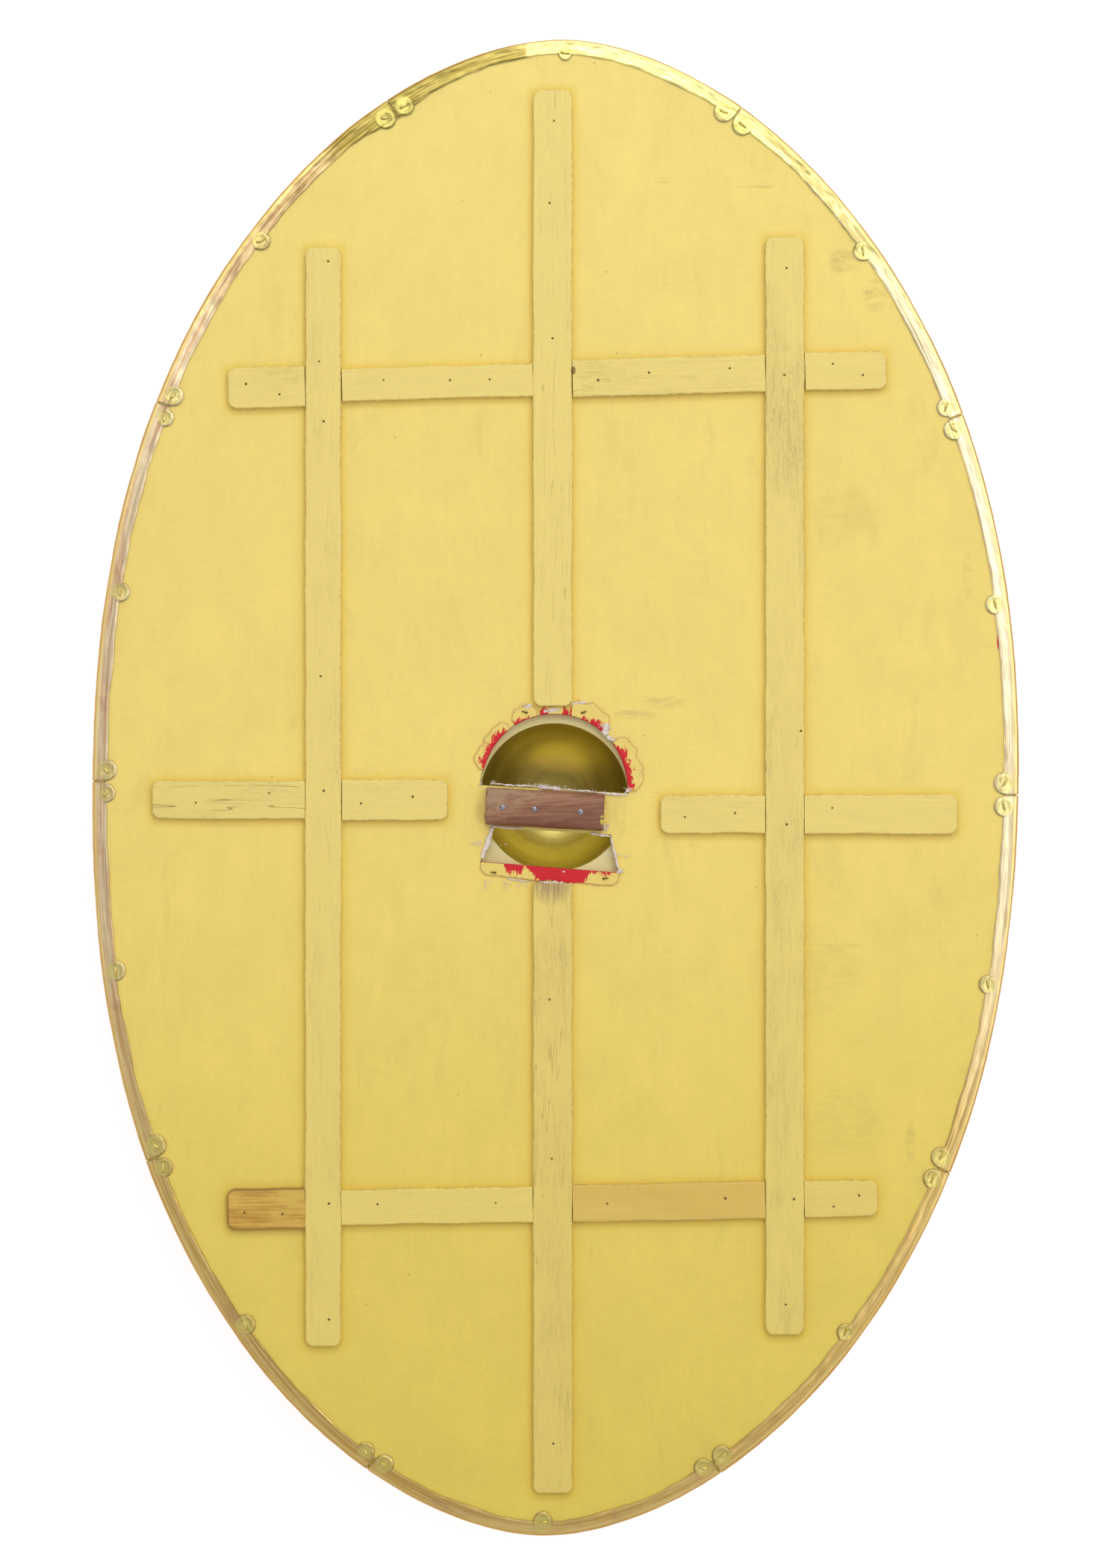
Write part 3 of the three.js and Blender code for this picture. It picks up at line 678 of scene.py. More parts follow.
def boss_brass():
    """Spun brass: fine turning rings about the dome, olive with age inside, and a painted highlight on the
    dome.
    """
    finish = Finish("boss_brass", metallic=1.0)
    down = finish.y - BOSS_Y
    radius = (finish.x * finish.x + down * down).root()
    ring_place = finish.combined(radius * 0.9, finish.x * 0.012, finish.y * 0.012)
    rings = finish.cloud(ring_place, 1, 4, 0.75)
    bands = finish.cloud(finish.combined(radius * 0.12, finish.x * 0.006, finish.y * 0.006), 1, 3, 0.5)
    stain = finish.cloud(finish.place, 0.035, 4, 0.6, 0.6)
    colour = finish.mix(bands.rise(0.3, 0.7), linear(198, 184, 104), linear(220, 208, 124))
    colour = finish.mix(stain.rise(0.45, 0.8) * 0.5, colour, linear(176, 158, 90))
    # Painted highlight: a bright yellow patch inside the dome
    painted_dome_highlight = finish.spot(DOME_HIGHLIGHT_PIXEL, 30, 17, 0.98)
    colour = finish.mix(painted_dome_highlight * 0.7, colour, linear(250, 234, 130))
    flat_part = radius.rise(DOME_RADIUS - 1.0, DOME_RADIUS + 1.5)
    colour = finish.mix(flat_part * 0.75, colour, linear(222, 216, 168))
    finish.put("base color", colour)
    finish.put("roughness", 0.34 + stain * 0.1 + flat_part * 0.16)
    finish.relief(rings * 0.05 + bands * 0.05)
    return finish.material


def nail_metal(name, dark, light, roughness):
    finish = Finish(name, metallic=1.0)
    stain = finish.cloud(finish.place, 0.8, 3, 0.65)
    finish.put("base color", finish.mix(stain.rise(0.3, 0.7), dark, light))
    finish.put("roughness", roughness + stain * 0.2)
    finish.relief(stain * 0.15)
    return finish.material


BOARD_FINISH = painted_board()
BATTEN_FINISH = painted_batten()
BARE_FINISH = bare_batten()
GRIP_FINISH = grip_wood()
RED_FINISH = red_linen()
RAW_FINISH = raw_linen()
EDGING_FINISH = edging_brass()
BOSS_FINISH = boss_brass()
IRON_FINISH = nail_metal("iron_nail", linear(96, 92, 98), linear(172, 170, 180), 0.3)
RUST_FINISH = nail_metal("rusty_nail", linear(96, 76, 40), linear(150, 126, 74), 0.5)
BRASS_NAIL_FINISH = nail_metal("brass_nail", linear(176, 156, 72), linear(250, 238, 156), 0.2)


# Outline


def hand_cut(x, y):
    """How much farther out the real rim lies than the plain oval, as a share, towards a place."""
    turn = np.arctan2(y, x)
    return sum(size * np.cos(order * turn - math.radians(phase)) for order, size, phase in HAND_CUT) / 1000


def oval(angles, inset, plain=False):
    """Places on the rim's outline, or inset from it, by angle clockwise from the top."""
    angles = np.asarray(angles, float)
    c, s = np.cos(angles), np.sin(angles)
    half_width, half_height = OVERALL_WIDTH / 2, OVERALL_HEIGHT / 2
    x = half_width * np.sign(s) * np.abs(s) ** (2 / SIDE_FULLNESS)
    y = half_height * np.sign(c) * np.abs(c) ** (2 / END_FULLNESS)
    out_x = np.sign(x) * SIDE_FULLNESS * np.abs(x / half_width) ** (SIDE_FULLNESS - 1) / half_width
    out_y = np.sign(y) * END_FULLNESS * np.abs(y / half_height) ** (END_FULLNESS - 1) / half_height
    size = np.hypot(out_x, out_y)
    x = x - inset * out_x / size
    y = y - inset * out_y / size
    if not plain:
        grown = 1 + hand_cut(x, y)
        x, y = x * grown, y * grown
    turn_c, turn_s = math.cos(OUTLINE_LEAN), math.sin(OUTLINE_LEAN)
    return np.column_stack([x * turn_c + y * turn_s, y * turn_c - x * turn_s])


FINE_ANGLES = np.linspace(0, 2 * np.pi, 7201)
FINE_STEPS = np.linalg.norm(np.diff(oval(FINE_ANGLES, 0, plain=True), axis=0), axis=1)
FINE_LENGTHS = np.concatenate([[0], np.cumsum(FINE_STEPS)])
RIM_LENGTH = FINE_LENGTHS[-1]
LENGTH_RUN = RIM_LENGTH / EDGING_LENGTHS


def along_rim(distance):
    return np.interp(np.mod(distance, RIM_LENGTH), FINE_LENGTHS, FINE_ANGLES)


def evenly(count):
    return along_rim(np.arange(count) * RIM_LENGTH / count)


def in_hole(points):
    """Places given level about the middle of the hand hole, as places of the shield."""
    points = np.asarray(points, float).reshape(-1, 2)
    c, s = math.cos(HOLE_SLOPE), math.sin(HOLE_SLOPE)
    turned = np.column_stack([points[:, 0] * c - points[:, 1] * s, points[:, 0] * s + points[:, 1] * c])
    return turned + (0, HOLE_CENTRE_Y)


def ragged_line(start, end, step, depth, seed):
    """A line between two points that wanders to either side, without its last point."""
    start, end = np.asarray(start, float), np.asarray(end, float)
    length = np.linalg.norm(end - start)
    shares = np.linspace(0, 1, max(2, int(length / step)), endpoint=False)
    way = (end - start) / length
    wander = depth * swell(shares * length, 0, 4.0, 1, seed) * np.sin(np.pi * shares) ** 0.3
    return start + shares[:, None] * (end - start) + wander[:, None] * (-way[1], way[0])


# Distance between the points of a cut edge
RAGGED_STEP = 1.6


def arch_radii(angles):
    """The arch as it was cut: a little narrower at its feet than a half circle."""
    return ARCH_TOP_RADIUS - ARCH_SQUEEZE * np.abs(np.cos(angles)) ** 3


def arch_hole(grow, depth):
    """The arched opening, larger by grow all round, with an edge that is ragged by depth."""
    start = math.asin(ARCH_BASE / (ARCH_TOP_RADIUS - ARCH_SQUEEZE + grow))
    angles = np.linspace(start, math.pi - start, 96)
    radii = arch_radii(angles) + grow + depth * swell(angles * ARCH_RADIUS, 0, 5.0, 1, 3)
    arc = np.column_stack([radii * np.cos(angles), radii * np.sin(angles)])
    base = ragged_line(arc[-1], arc[0], RAGGED_STEP, depth, 5)[1:]
    return in_hole(np.concatenate([arc, base]))


def finger_hole(grow, depth):
    """The lower opening, in the same way."""
    corners = [
        (-FINGER_HALF_TOP - grow, FINGER_TOP),
        (-FINGER_HALF_BOTTOM - grow, FINGER_BOTTOM + FINGER_LEFT_RISE - grow),
        (FINGER_HALF_BOTTOM + grow, FINGER_BOTTOM - grow),
        (FINGER_HALF_TOP + grow, FINGER_TOP),
    ]
    ends = zip(corners, corners[1:] + corners[:1])
    sides = [ragged_line(a, b, RAGGED_STEP, depth, 11 + i) for i, (a, b) in enumerate(ends)]
    return in_hole(np.concatenate(sides))


def inside(points, ring):
    """Whether each point lies inside a closed ring."""
    x, y = np.asarray(points, float).T
    found = np.zeros(len(x), bool)
    for (ax, ay), (bx, by) in zip(ring, np.roll(ring, -1, axis=0)):
        if ay == by:
            continue
        crosses = (ay > y) != (by > y)
        found ^= crosses & (x < (bx - ax) * (y - ay) / (by - ay) + ax)
    return found


def near(points, ring, distance):
    """Whether each point lies within a distance of a ring's own points."""
    gaps = [np.min(np.linalg.norm(np.asarray(ring) - p, axis=1)) for p in points]
    return np.array(gaps) < distance


def filled(mesh, holes, extra=()):
    """Triangles over a flat sheet: rings from the rim inwards, the holes, and points between."""
    outer_rings = [oval(evenly(mesh["around"]), inset) for inset in EASE_INSETS]
    pitch, margin = mesh["pitch"], mesh["margin"]
    core = outer_rings[-1]
    low, high = core.min(0), core.max(0)
    xs, ys = np.arange(low[0], high[0], pitch), np.arange(low[1], high[1], pitch)
    grid = np.array([(x + (j % 2) * pitch / 2, y) for j, y in enumerate(ys) for x in xs])
    grid = grid[inside(grid, core)]
    central = np.hypot(grid[:, 0], grid[:, 1]) < OVERALL_HEIGHT / 6
    keep = np.ones(len(grid), bool)
    for hole in holes:
        keep[central] &= ~inside(grid[central], hole) & ~near(grid[central], hole, margin)
    if len(extra):
        keep &= beside_battens(grid) > BESIDE_RINGS[-1] + pitch / 3
        grid = np.concatenate([grid[keep], extra])
    else:
        grid = grid[keep]
    loops = [outer_rings[0], *holes]
    points, edges = [], []
    for loop in loops:
        start = len(points)
        points += [tuple(p) for p in loop]
        edges += [(start + i, start + (i + 1) % len(loop)) for i in range(len(loop))]
    for ring in outer_rings[1:]:
        points += [tuple(p) for p in ring]
    points += [tuple(p) for p in grid]
    verts, _, faces, _, _, _ = delaunay_2d_cdt([Vector(p) for p in points], edges, [], 1, 1e-5)
    flat = np.array([tuple(v) for v in verts])
    middles = np.array([flat[list(f)].mean(0) for f in faces])
    kept = np.ones(len(faces), bool)
    for hole in holes:
        kept &= ~inside(middles, hole)
    faces = [tuple(f) for f, k in zip(faces, kept) if k]
    return flat, faces, edges


def slab(flat, faces, edges, top, bottom):
    """A closed slab over a filled sheet, between its top and bottom heights."""
    count = len(flat)
    points = np.concatenate([np.column_stack([flat, top]), np.column_stack([flat, bottom])])
    under = [tuple(count + i for i in reversed(face)) for face in faces]
    walls = [(a, b, count + b, count + a) for a, b in edges]
    return points, faces + under + walls


def inset_of(flat):
    """About how far each place lies inside the rim."""
    turn_c, turn_s = math.cos(OUTLINE_LEAN), math.sin(OUTLINE_LEAN)
    x = flat[:, 0] * turn_c - flat[:, 1] * turn_s
    y = flat[:, 1] * turn_c + flat[:, 0] * turn_s
    grown = 1 + hand_cut(x, y)
    half_width, half_height = OVERALL_WIDTH / 2, OVERALL_HEIGHT / 2
    u, v = np.abs(x / grown / half_width), np.abs(y / grown / half_height)
    level = u**SIDE_FULLNESS + v**END_FULLNESS
    slope_u = SIDE_FULLNESS * u ** (SIDE_FULLNESS - 1) / half_width
    slope_v = END_FULLNESS * v ** (END_FULLNESS - 1) / half_height
    return (1 - level) / np.maximum(np.hypot(slope_u, slope_v), 1e-6)


# The edge of the board is eased over this run, by this drop, in steps at these insets
RIM_EASE_RUN = 12
RIM_EASE_DROP = 1.9
EASE_INSETS = (BOARD_INSET, 3, 5, 8, RIM_EASE_RUN)
# How fine the sheets are: points round the rim, distance between points, and distance kept from a hole
BOARD_MESH = {"around": 420, "pitch": 9, "margin": 2.2}
CLOTH_MESH = {"around": 300, "pitch": 13, "margin": 2.5}
BESIDE_PITCH = 7


def ease(flat):
    """How far a face drops towards the rim."""
    short = np.clip(1 - inset_of(flat) / RIM_EASE_RUN, 0, 1)
    return RIM_EASE_DROP * short**3


def batten_box(name):
    """Where a batten of the part lies: its ends along its own heading, and its sides across."""
    way = towards(math.radians(BATTENS[name][0]))
    side = np.array((-way[1], way[0]))
    flat = to_shield(np.array([v.co for v in frame["nodes"][name].data.vertices]))[:, :2]
    return way, side, ((flat @ way).min(), (flat @ way).max()), ((flat @ side).min(), (flat @ side).max())


# Painted shade lies beside the battens, in a band of this reach: rings of points there carry its fading
BESIDE_RINGS = (0.4, 2.5, 5.0, 9.0)


def beside_battens(points):
    """How far each place lies from the nearest batten."""
    least = np.full(len(points), 99.0)
    for name in BATTENS:
        way, side, ends, sides = batten_box(name)
        along, across = points @ way, points @ side
        out_along = np.maximum(np.maximum(ends[0] - along, along - ends[1]), 0)
        out_across = np.maximum(np.maximum(sides[0] - across, across - sides[1]), 0)
        least = np.minimum(least, np.hypot(out_along, out_across))
    return least


def points_beside(step):
    """Points on the rings about each batten, clear of the openings."""
    found = []
    for order, name in enumerate(BATTENS):
        way, side, ends, sides = batten_box(name)
        for ring in BESIDE_RINGS:
            low, high = ends[0] - ring, ends[1] + ring
            left, right = sides[0] - ring, sides[1] + ring
            corners = [(low, left), (high, left), (high, right), (low, right)]
            for a, b in zip(np.array(corners), np.array(corners[1:] + corners[:1])):
                count = max(1, int(np.linalg.norm(b - a) / step))
                shares = (np.arange(count) + 0.1 + 0.013 * order) / count
                spots = a + shares[:, None] * (b - a)
                found.append(np.outer(spots[:, 0], way) + np.outer(spots[:, 1], side))
    found = np.concatenate(found)
    clear = ~inside(found, arch_hole(grow=3, depth=0)) & ~inside(found, finger_hole(grow=3, depth=0))
    return found[clear & (beside_battens(found) > 0.3)]


def board():
    holes = [arch_hole(grow=0.75, depth=0.35), finger_hole(grow=0.6, depth=0.4)]
    flat, faces, edges = filled(BOARD_MESH, holes, points_beside(BESIDE_PITCH))
    drop = ease(flat)
    top = 0.1 * swell(flat[:, 0], flat[:, 1], 60, 60, 21) - drop - 0.05
    bottom = -BOARD_THICKNESS + drop
    body = slab(flat, faces, edges, top, bottom)
    marks = {"beside": np.tile(beside_battens(flat), 2)}
    piece("board_painted", body, BOARD_FINISH, ["board"], marks)


# Cloth


# Tabs above the arch, from and to in degrees, and their reach as a share of TAB_REACH
TABS = [
    {"from": 5, "to": 44, "reach": 1.15},
    {"from": 54, "to": 82, "reach": 1.2},
    {"from": 83, "to": 103, "reach": 0.55},
    {"from": 105, "to": 123, "reach": 0.95},
    {"from": 127, "to": 165, "reach": 0.78},
]
# Where red still shows along the arch: middle and half width in degrees, and how far out in mm
RED_ON_ARCH = [
    *[(22, 22, 4.4), (60, 8, 5.0), (70, 4, 2.0), (84, 4, 6.5)],
    *[(101, 4, 6.5), (118, 8, 2.6), (147, 20, 4.4)],
]
# The same along the lower strip, in mm from its middle
RED_ON_STRIP = [(-27.5, 9, 6.5), (7.5, 26, 12), (-17, 6, 1.5), (38, 13, 1.6)]
NO_RED = -3.0
# Where the cloth's roll over an edge ends, how high it lies from there on, and how thick it is there
ROLL_END = 0.9
LYING_HEIGHT = 1.1
LYING_SHEET = 0.55
# The turn mark of cloth that isn't turned over: on the front, and on the wall of an opening
TURN_FRONT = -20
TURN_WALL = -9


def red_reach_of(places, patches):
    """How far out from an opening's edge red still shows, at each place along it."""
    reach = np.full(len(places), NO_RED)
    for middle, half, out in patches:
        share = 1 - np.abs(np.asarray(places) - middle) / half
        reach = np.maximum(reach, NO_RED + (out - NO_RED) * smooth_step(share, -0.1, 0.42))
    return reach


def turnover(edge_points, outward, reaches, red, seed):
    """Cloth led up through an opening, rolled over its edge and laid flat on the inside face."""
    wall = [(0.0, CLOTH_FRONT + 0.3), (0.0, -5.0), (0.0, -1.0), (0.05, 0.35), (0.3, 0.85)]
    wall.append((ROLL_END, LYING_HEIGHT))
    leaf = np.array([0.16, 0.3, 0.44, 0.58, 0.72, 0.86, 1.0])
    under = [0.8, 0.45, 0.12]
    rings, turns, edges, reds = [], [], [], []
    for i, (place, out, reach) in enumerate(zip(edge_points, outward, reaches)):
        across = np.concatenate([[d for d, _ in wall], ROLL_END + (reach - ROLL_END) * leaf])
        height = np.concatenate([[z for _, z in wall], np.full(len(leaf), LYING_HEIGHT)])
        spot = place + np.outer(across, out)
        wave = swell(spot[:, 0], spot[:, 1], 5, 5, seed)
        curl = np.maximum(0, swell(spot[:, 0], spot[:, 1], 11, 11, seed + 40))
        share = np.clip((across - ROLL_END) / max(reach - ROLL_END, 1e-3), 0, 1)
        height = height + share * (0.22 * wave + 0.9 * curl * share**2)
        back_leaf = [ROLL_END + (reach - ROLL_END) * s for s in (1.0, *under)]
        back_across = np.array(back_leaf + [0.85, 0.8, 0.8])
        back_height = np.array([0.0] * 4 + [0.2, -5.0, CLOTH_FRONT + 0.3])
        lifted = np.interp(back_across, across[5:], height[5:])
        thin = np.where(back_across > ROLL_END, lifted - LYING_SHEET, back_height)
        back = np.column_stack([place + np.outer(back_across, out), np.maximum(thin, back_height)])
        rings.append(np.concatenate([np.column_stack([spot, height]), back]))
        turns.append(np.concatenate([[TURN_WALL] * 4, [0.2, ROLL_END], across[6:], back_across + TURN_FRONT]))
        edge = np.concatenate([[9] * 6, reach - across[6:], [9] * len(back_across)])
        ends = min(i, len(edge_points) - 1 - i) * np.linalg.norm(edge_points[1] - edge_points[0])
        edges.append(np.minimum(edge, ends + 0.05))
        reds.append(np.full(len(edge), red[i]))
    body = loft(rings)
    return body, np.concatenate(turns), np.concatenate(edges), np.concatenate(reds)


def tab(from_deg, to_deg, reach, seed):
    step_deg = 0.9
    degrees = np.linspace(from_deg, to_deg, int((to_deg - from_deg) / step_deg) + 1)
    angles = np.radians(degrees)
    radial = np.column_stack([np.cos(angles), np.sin(angles)])
    radii = arch_radii(angles)[:, None]
    edge_points = in_hole(radial * radii)
    outward = in_hole(radial * (radii + 1)) - edge_points
    from_end = np.minimum(degrees - from_deg, to_deg - degrees)
    wander = 1 + 0.16 * swell(degrees, 0, 6, 1, seed) + 0.05 * swell(degrees, 0, 1.5, 1, seed + 1)
    reaches = reach * TAB_REACH * wander * (0.45 + 0.55 * smooth_step(from_end, -1, 4.5))
    return turnover(edge_points, outward, reaches, red_reach_of(degrees, RED_ON_ARCH), seed)


def strip():
    half = FINGER_HALF_BOTTOM
    places = np.linspace(-half, half, 96)
    shares = (places + half) / (2 * half)
    heights = FINGER_BOTTOM + FINGER_LEFT_RISE * (1 - shares)
    edge_points = in_hole(np.column_stack([places, heights]))
    outward = np.repeat(in_hole([(0, -1)]) - in_hole([(0, 0)]), len(places), axis=0)
    from_end = half - np.abs(places)
    wander = 1 + 0.08 * swell(places, 0, 14, 1, 61) + 0.04 * swell(places, 0, 2.5, 1, 62)
    reaches = STRIP_REACH * wander * (0.5 + 0.5 * smooth_step(from_end, -1, 5))
    return turnover(edge_points, outward, reaches, red_reach_of(places, RED_ON_STRIP), 63)


def facing_cloth():
    holes = [arch_hole(grow=0, depth=0.2), finger_hole(grow=0, depth=0.2)]
    flat, faces, edges = filled(CLOTH_MESH, holes)
    drop = ease(flat)
    low = 0.12 * swell(flat[:, 0], flat[:, 1], 45, 45, 31)
    top = CLOTH_BACK + drop + 0.1
    bottom = CLOTH_FRONT + drop + low - 0.05
    front = slab(flat, faces, edges, top, bottom)
    turned = [tab(t["from"], t["to"], t["reach"], 70 + 2 * i) for i, t in enumerate(TABS)] + [strip()]
    count = len(front[0])
    marks = {
        "turn": np.concatenate([np.full(count, float(TURN_FRONT)), *[t[1] for t in turned]]),
        "edge": np.concatenate([np.full(count, 9.0), *[t[2] for t in turned]]),
        "red_reach": np.concatenate([np.full(count, 0.0), *[t[3] for t in turned]]),
    }
    body = joined([front, *[t[0] for t in turned]])
    corners = flat[[list(face) for face in faces]]
    sides_a, sides_b = corners[:, 1] - corners[:, 0], corners[:, 2] - corners[:, 0]
    area = np.abs(sides_a[:, 0] * sides_b[:, 1] - sides_a[:, 1] * sides_b[:, 0]).sum() / 2 * MM**2
    return piece("facing_cloth_linen", body, RED_FINISH, ["facing_cloth"], marks), area


def threads(rng, start, heading_deg, length, count, spread, lift):
    """Loose ends of thread about a place, each a thin curling rod."""
    bodies = []
    for _ in range(count):
        heading = math.radians(heading_deg + rng.gauss(0, 35))
        reach = length * rng.uniform(0.4, 1.25)
        bend = rng.uniform(-2.2, 2.2)
        slip = rng.gauss(0, spread)
        up = start[1] - 0.06 * slip + rng.gauss(0, 0.5)
        place = np.array((start[0] + slip, up, rng.uniform(0.5, lift)))
        steps = 7
        path = [place]
        for k in range(steps):
            heading += bend / steps
            drop = (0.35 - 0.9 * k / steps) * reach / steps
            path.append(path[-1] + (*(towards(heading) * reach / steps), drop))
        path = np.array(path)
        path[:, 2] = np.maximum(path[:, 2], 0.3)
        width = rng.uniform(0.11, 0.22)
        bodies.append(tube(path, np.linspace(width, width * 0.5, len(path)), 5))
    return bodies


def torn_band(start, end, width, height, seed):
    """A lumpy torn edge of raw linen along a line."""
    start, end = np.asarray(start, float), np.asarray(end, float)
    length = np.linalg.norm(end - start)
    way = (end - start) / length
    side = np.array((-way[1], way[0]))
    count = int(length / 0.7) + 2
    turns = np.linspace(0, 2 * np.pi, 12, endpoint=False)
    rings = []
    for t in np.linspace(0, 1, count):
        place = start + t * (end - start)
        ends = math.sin(math.pi * t) ** 0.25 if 0 < t < 1 else 0.15
        lumps = 0.45 * swell(t * length, 0, 2.6, 1, seed) + 0.3 * swell(t * length, 9, 0.9, 1, seed)
        fat = width / 2 * ends * (1 + lumps)
        off = 0.5 * swell(t * length, 5, 4.0, 1, seed)
        rise = height * (1 + 0.4 * swell(t * length, 3, 1.8, 1, seed)) * max(ends, 0.3)
        bumps = 1 + 0.25 * swell(np.cos(turns) * 2 + t * length, np.sin(turns) * 2, 1.1, 1.1, seed + 1)
        flat = place + np.outer(np.cos(turns) * bumps * fat + off, side)
        z = 0.35 + rise * 0.5 * (1 + np.sin(turns) * bumps)
        rings.append(np.column_stack([flat, z]))
    return loft(rings)


# Torn raw edges as pixel to pixel, width and height in mm
TORN_PIXELS = [
    ((656, 1050), (720, 1053.5), 1.3, 0.9),
    ((719, 1053.5), (752, 1057), 3.0, 1.8),
    ((750, 1057), (800, 1061), 1.5, 1.0),
    ((798, 1062), (841, 1065), 1.6, 1.0),
    ((660, 1108), (645, 1150), 3.6, 1.8),
    ((660, 1107), (700, 1110), 1.5, 1.0),
    ((790, 1116), (818, 1120), 1.8, 1.2),
    ((818, 1121), (829, 1166), 1.8, 1.4),
    ((808, 1104), (812, 1112), 3.0, 1.4),
    ((702, 949), (713, 944), 2.6, 1.4),
    ((764, 943), (786, 941), 2.0, 1.2),
    ((786, 942), (804, 951), 1.2, 0.9),
    ((812, 968), (810, 986), 4.2, 2.0),
    ((812, 986), (824, 992), 2.2, 1.2),
    ((836, 1062), (842, 1056), 3.0, 1.4),
    ((722, 1182), (768, 1184), 2.2, 1.6),
    ((727, 952), (750, 951), 3.0, 1.3),
    ((752, 1168), (757, 1166), 1.6, 1.0),
    ((826, 1170), (833, 1164), 2.2, 1.2),
    ((678, 1177), (712, 1181), 1.0, 0.7),
]
# Loose threads as pixel, heading in degrees, length in mm, how many, and how far they spread
THREAD_PIXELS = [
    (660, 1050, 120, 3, 12, 1.4),
    (735, 1054, 90, 2.4, 60, 6.0),
    (700, 1052, 80, 1.6, 26, 8.0),
    (775, 1059, 70, 1.6, 32, 8.0),
    (645, 1050, 170, 3, 7, 1.0),
    (820, 1064, 80, 1.8, 18, 5.0),
    (841, 1059, 60, 4, 14, 1.2),
    (652, 1130, 200, 3, 34, 5.0),
    (659, 1106, 130, 3, 16, 1.6),
    (824, 1145, 10, 3, 24, 5.0),
    (830, 1168, 20, 3, 12, 1.4),
    (810, 1107, 30, 4, 14, 1.6),
    (706, 946, 140, 4, 16, 1.6),
    (776, 942, 60, 3, 18, 3.0),
    (811, 975, 40, 4, 30, 2.6),
    (820, 990, 20, 4, 12, 1.8),
    (690, 1182, 230, 7, 12, 6.0),
    (745, 1184, 270, 4, 26, 6.0),
    (655, 1180, 250, 9, 5, 3.0),
]


def torn_linen():
    rng = random.Random(4)
    bodies = []
    for i, (start, end, width, height) in enumerate(TORN_PIXELS):
        bodies.append(torn_band(photo(*start), photo(*end), width, height, 90 + 3 * i))
    for px, py, heading, length, count, spread in THREAD_PIXELS:
        bodies += threads(rng, photo(px, py), heading, length, count, spread, 1.6)
    return piece("torn_linen_edges", joined(bodies), RAW_FINISH, sharp_degrees=60)


# Battens: heading in degrees, and whether the low and the high end are free and rounded
BATTENS = {
    "batten_left": (90, True, True),
    "batten_right": (90, True, True),
    "batten_centre_top": (90, True, True),
    "batten_centre_bottom": (90, True, False),
    "batten_middle_left_outer": (0, True, False),
    "batten_middle_left_inner": (0, False, True),
    "batten_middle_right_inner": (0, True, False),
    "batten_middle_right_outer": (0, False, True),
}
# How far the long rows rise to the right, in degrees
ROW_RISE = {"top": 1.65, "bottom": 1.03}
for row, rise in ROW_RISE.items():
    for number in range(1, 5):
        BATTENS[f"batten_{row}_row_{number}"] = (rise, number == 1, number == 4)

BATTEN_TOP = 5.3
BATTEN_CORNER = 6.5
# Butted ends close up to their neighbour by this much, but for the low ends of these
BUTT_CLOSING = 0.55
OPEN_BUTTS = ("batten_top_row_2", "batten_middle_left_inner", "batten_top_row_4")
# How worn, brown or cracked a batten is, from 0 to 1
BATTEN_WEAR = {
    "batten_right": 0.55,
    "batten_centre_bottom": 0.55,
    "batten_left": 0.2,
    "batten_top_row_3": 0.25,
    "batten_top_row_1": 0.3,
    "batten_bottom_row_4": 0.3,
    "batten_middle_right_inner": 0.25,
    "batten_middle_left_outer": 0.4,
}

BATTEN_BROWN = {"batten_bottom_row_3": 0.85, "batten_bottom_row_4": 0.15, "batten_centre_bottom": 0.12}
BATTEN_CRACKED = {
    "batten_middle_left_outer": 1.0,
    "batten_centre_top": 0.4,
    "batten_left": 0.2,
    "batten_top_row_3": 0.3,
    "batten_centre_bottom": 0.4,
    "batten_right": 0.2,
}


def stations(length, corner):
    """Places along a batten: close together at its ends, where it is shaped."""
    near_end = np.array([0, 0.2, 0.5, 0.95, 1.6, 2.5, 3.6, 5.0, corner])
    steps = max(2, int((length - 2 * corner) / 3.6))
    between = np.linspace(corner, length - corner, steps)
    return np.concatenate([near_end[:-1], between, length - near_end[-2::-1]])


def run_mark(along, across, own):
    """The run mark of a ring: how far along its piece it is, each place across, and a value of its own."""
    return np.column_stack([np.full(len(across), along), across, np.full(len(across), own)])


def round_over(distance, radius):
    """How far a rounded edge falls short, at a distance from it."""
    short = np.clip(1 - np.asarray(distance, float) / radius, 0, 1)
    return radius * (1 - np.sqrt(1 - short**2))


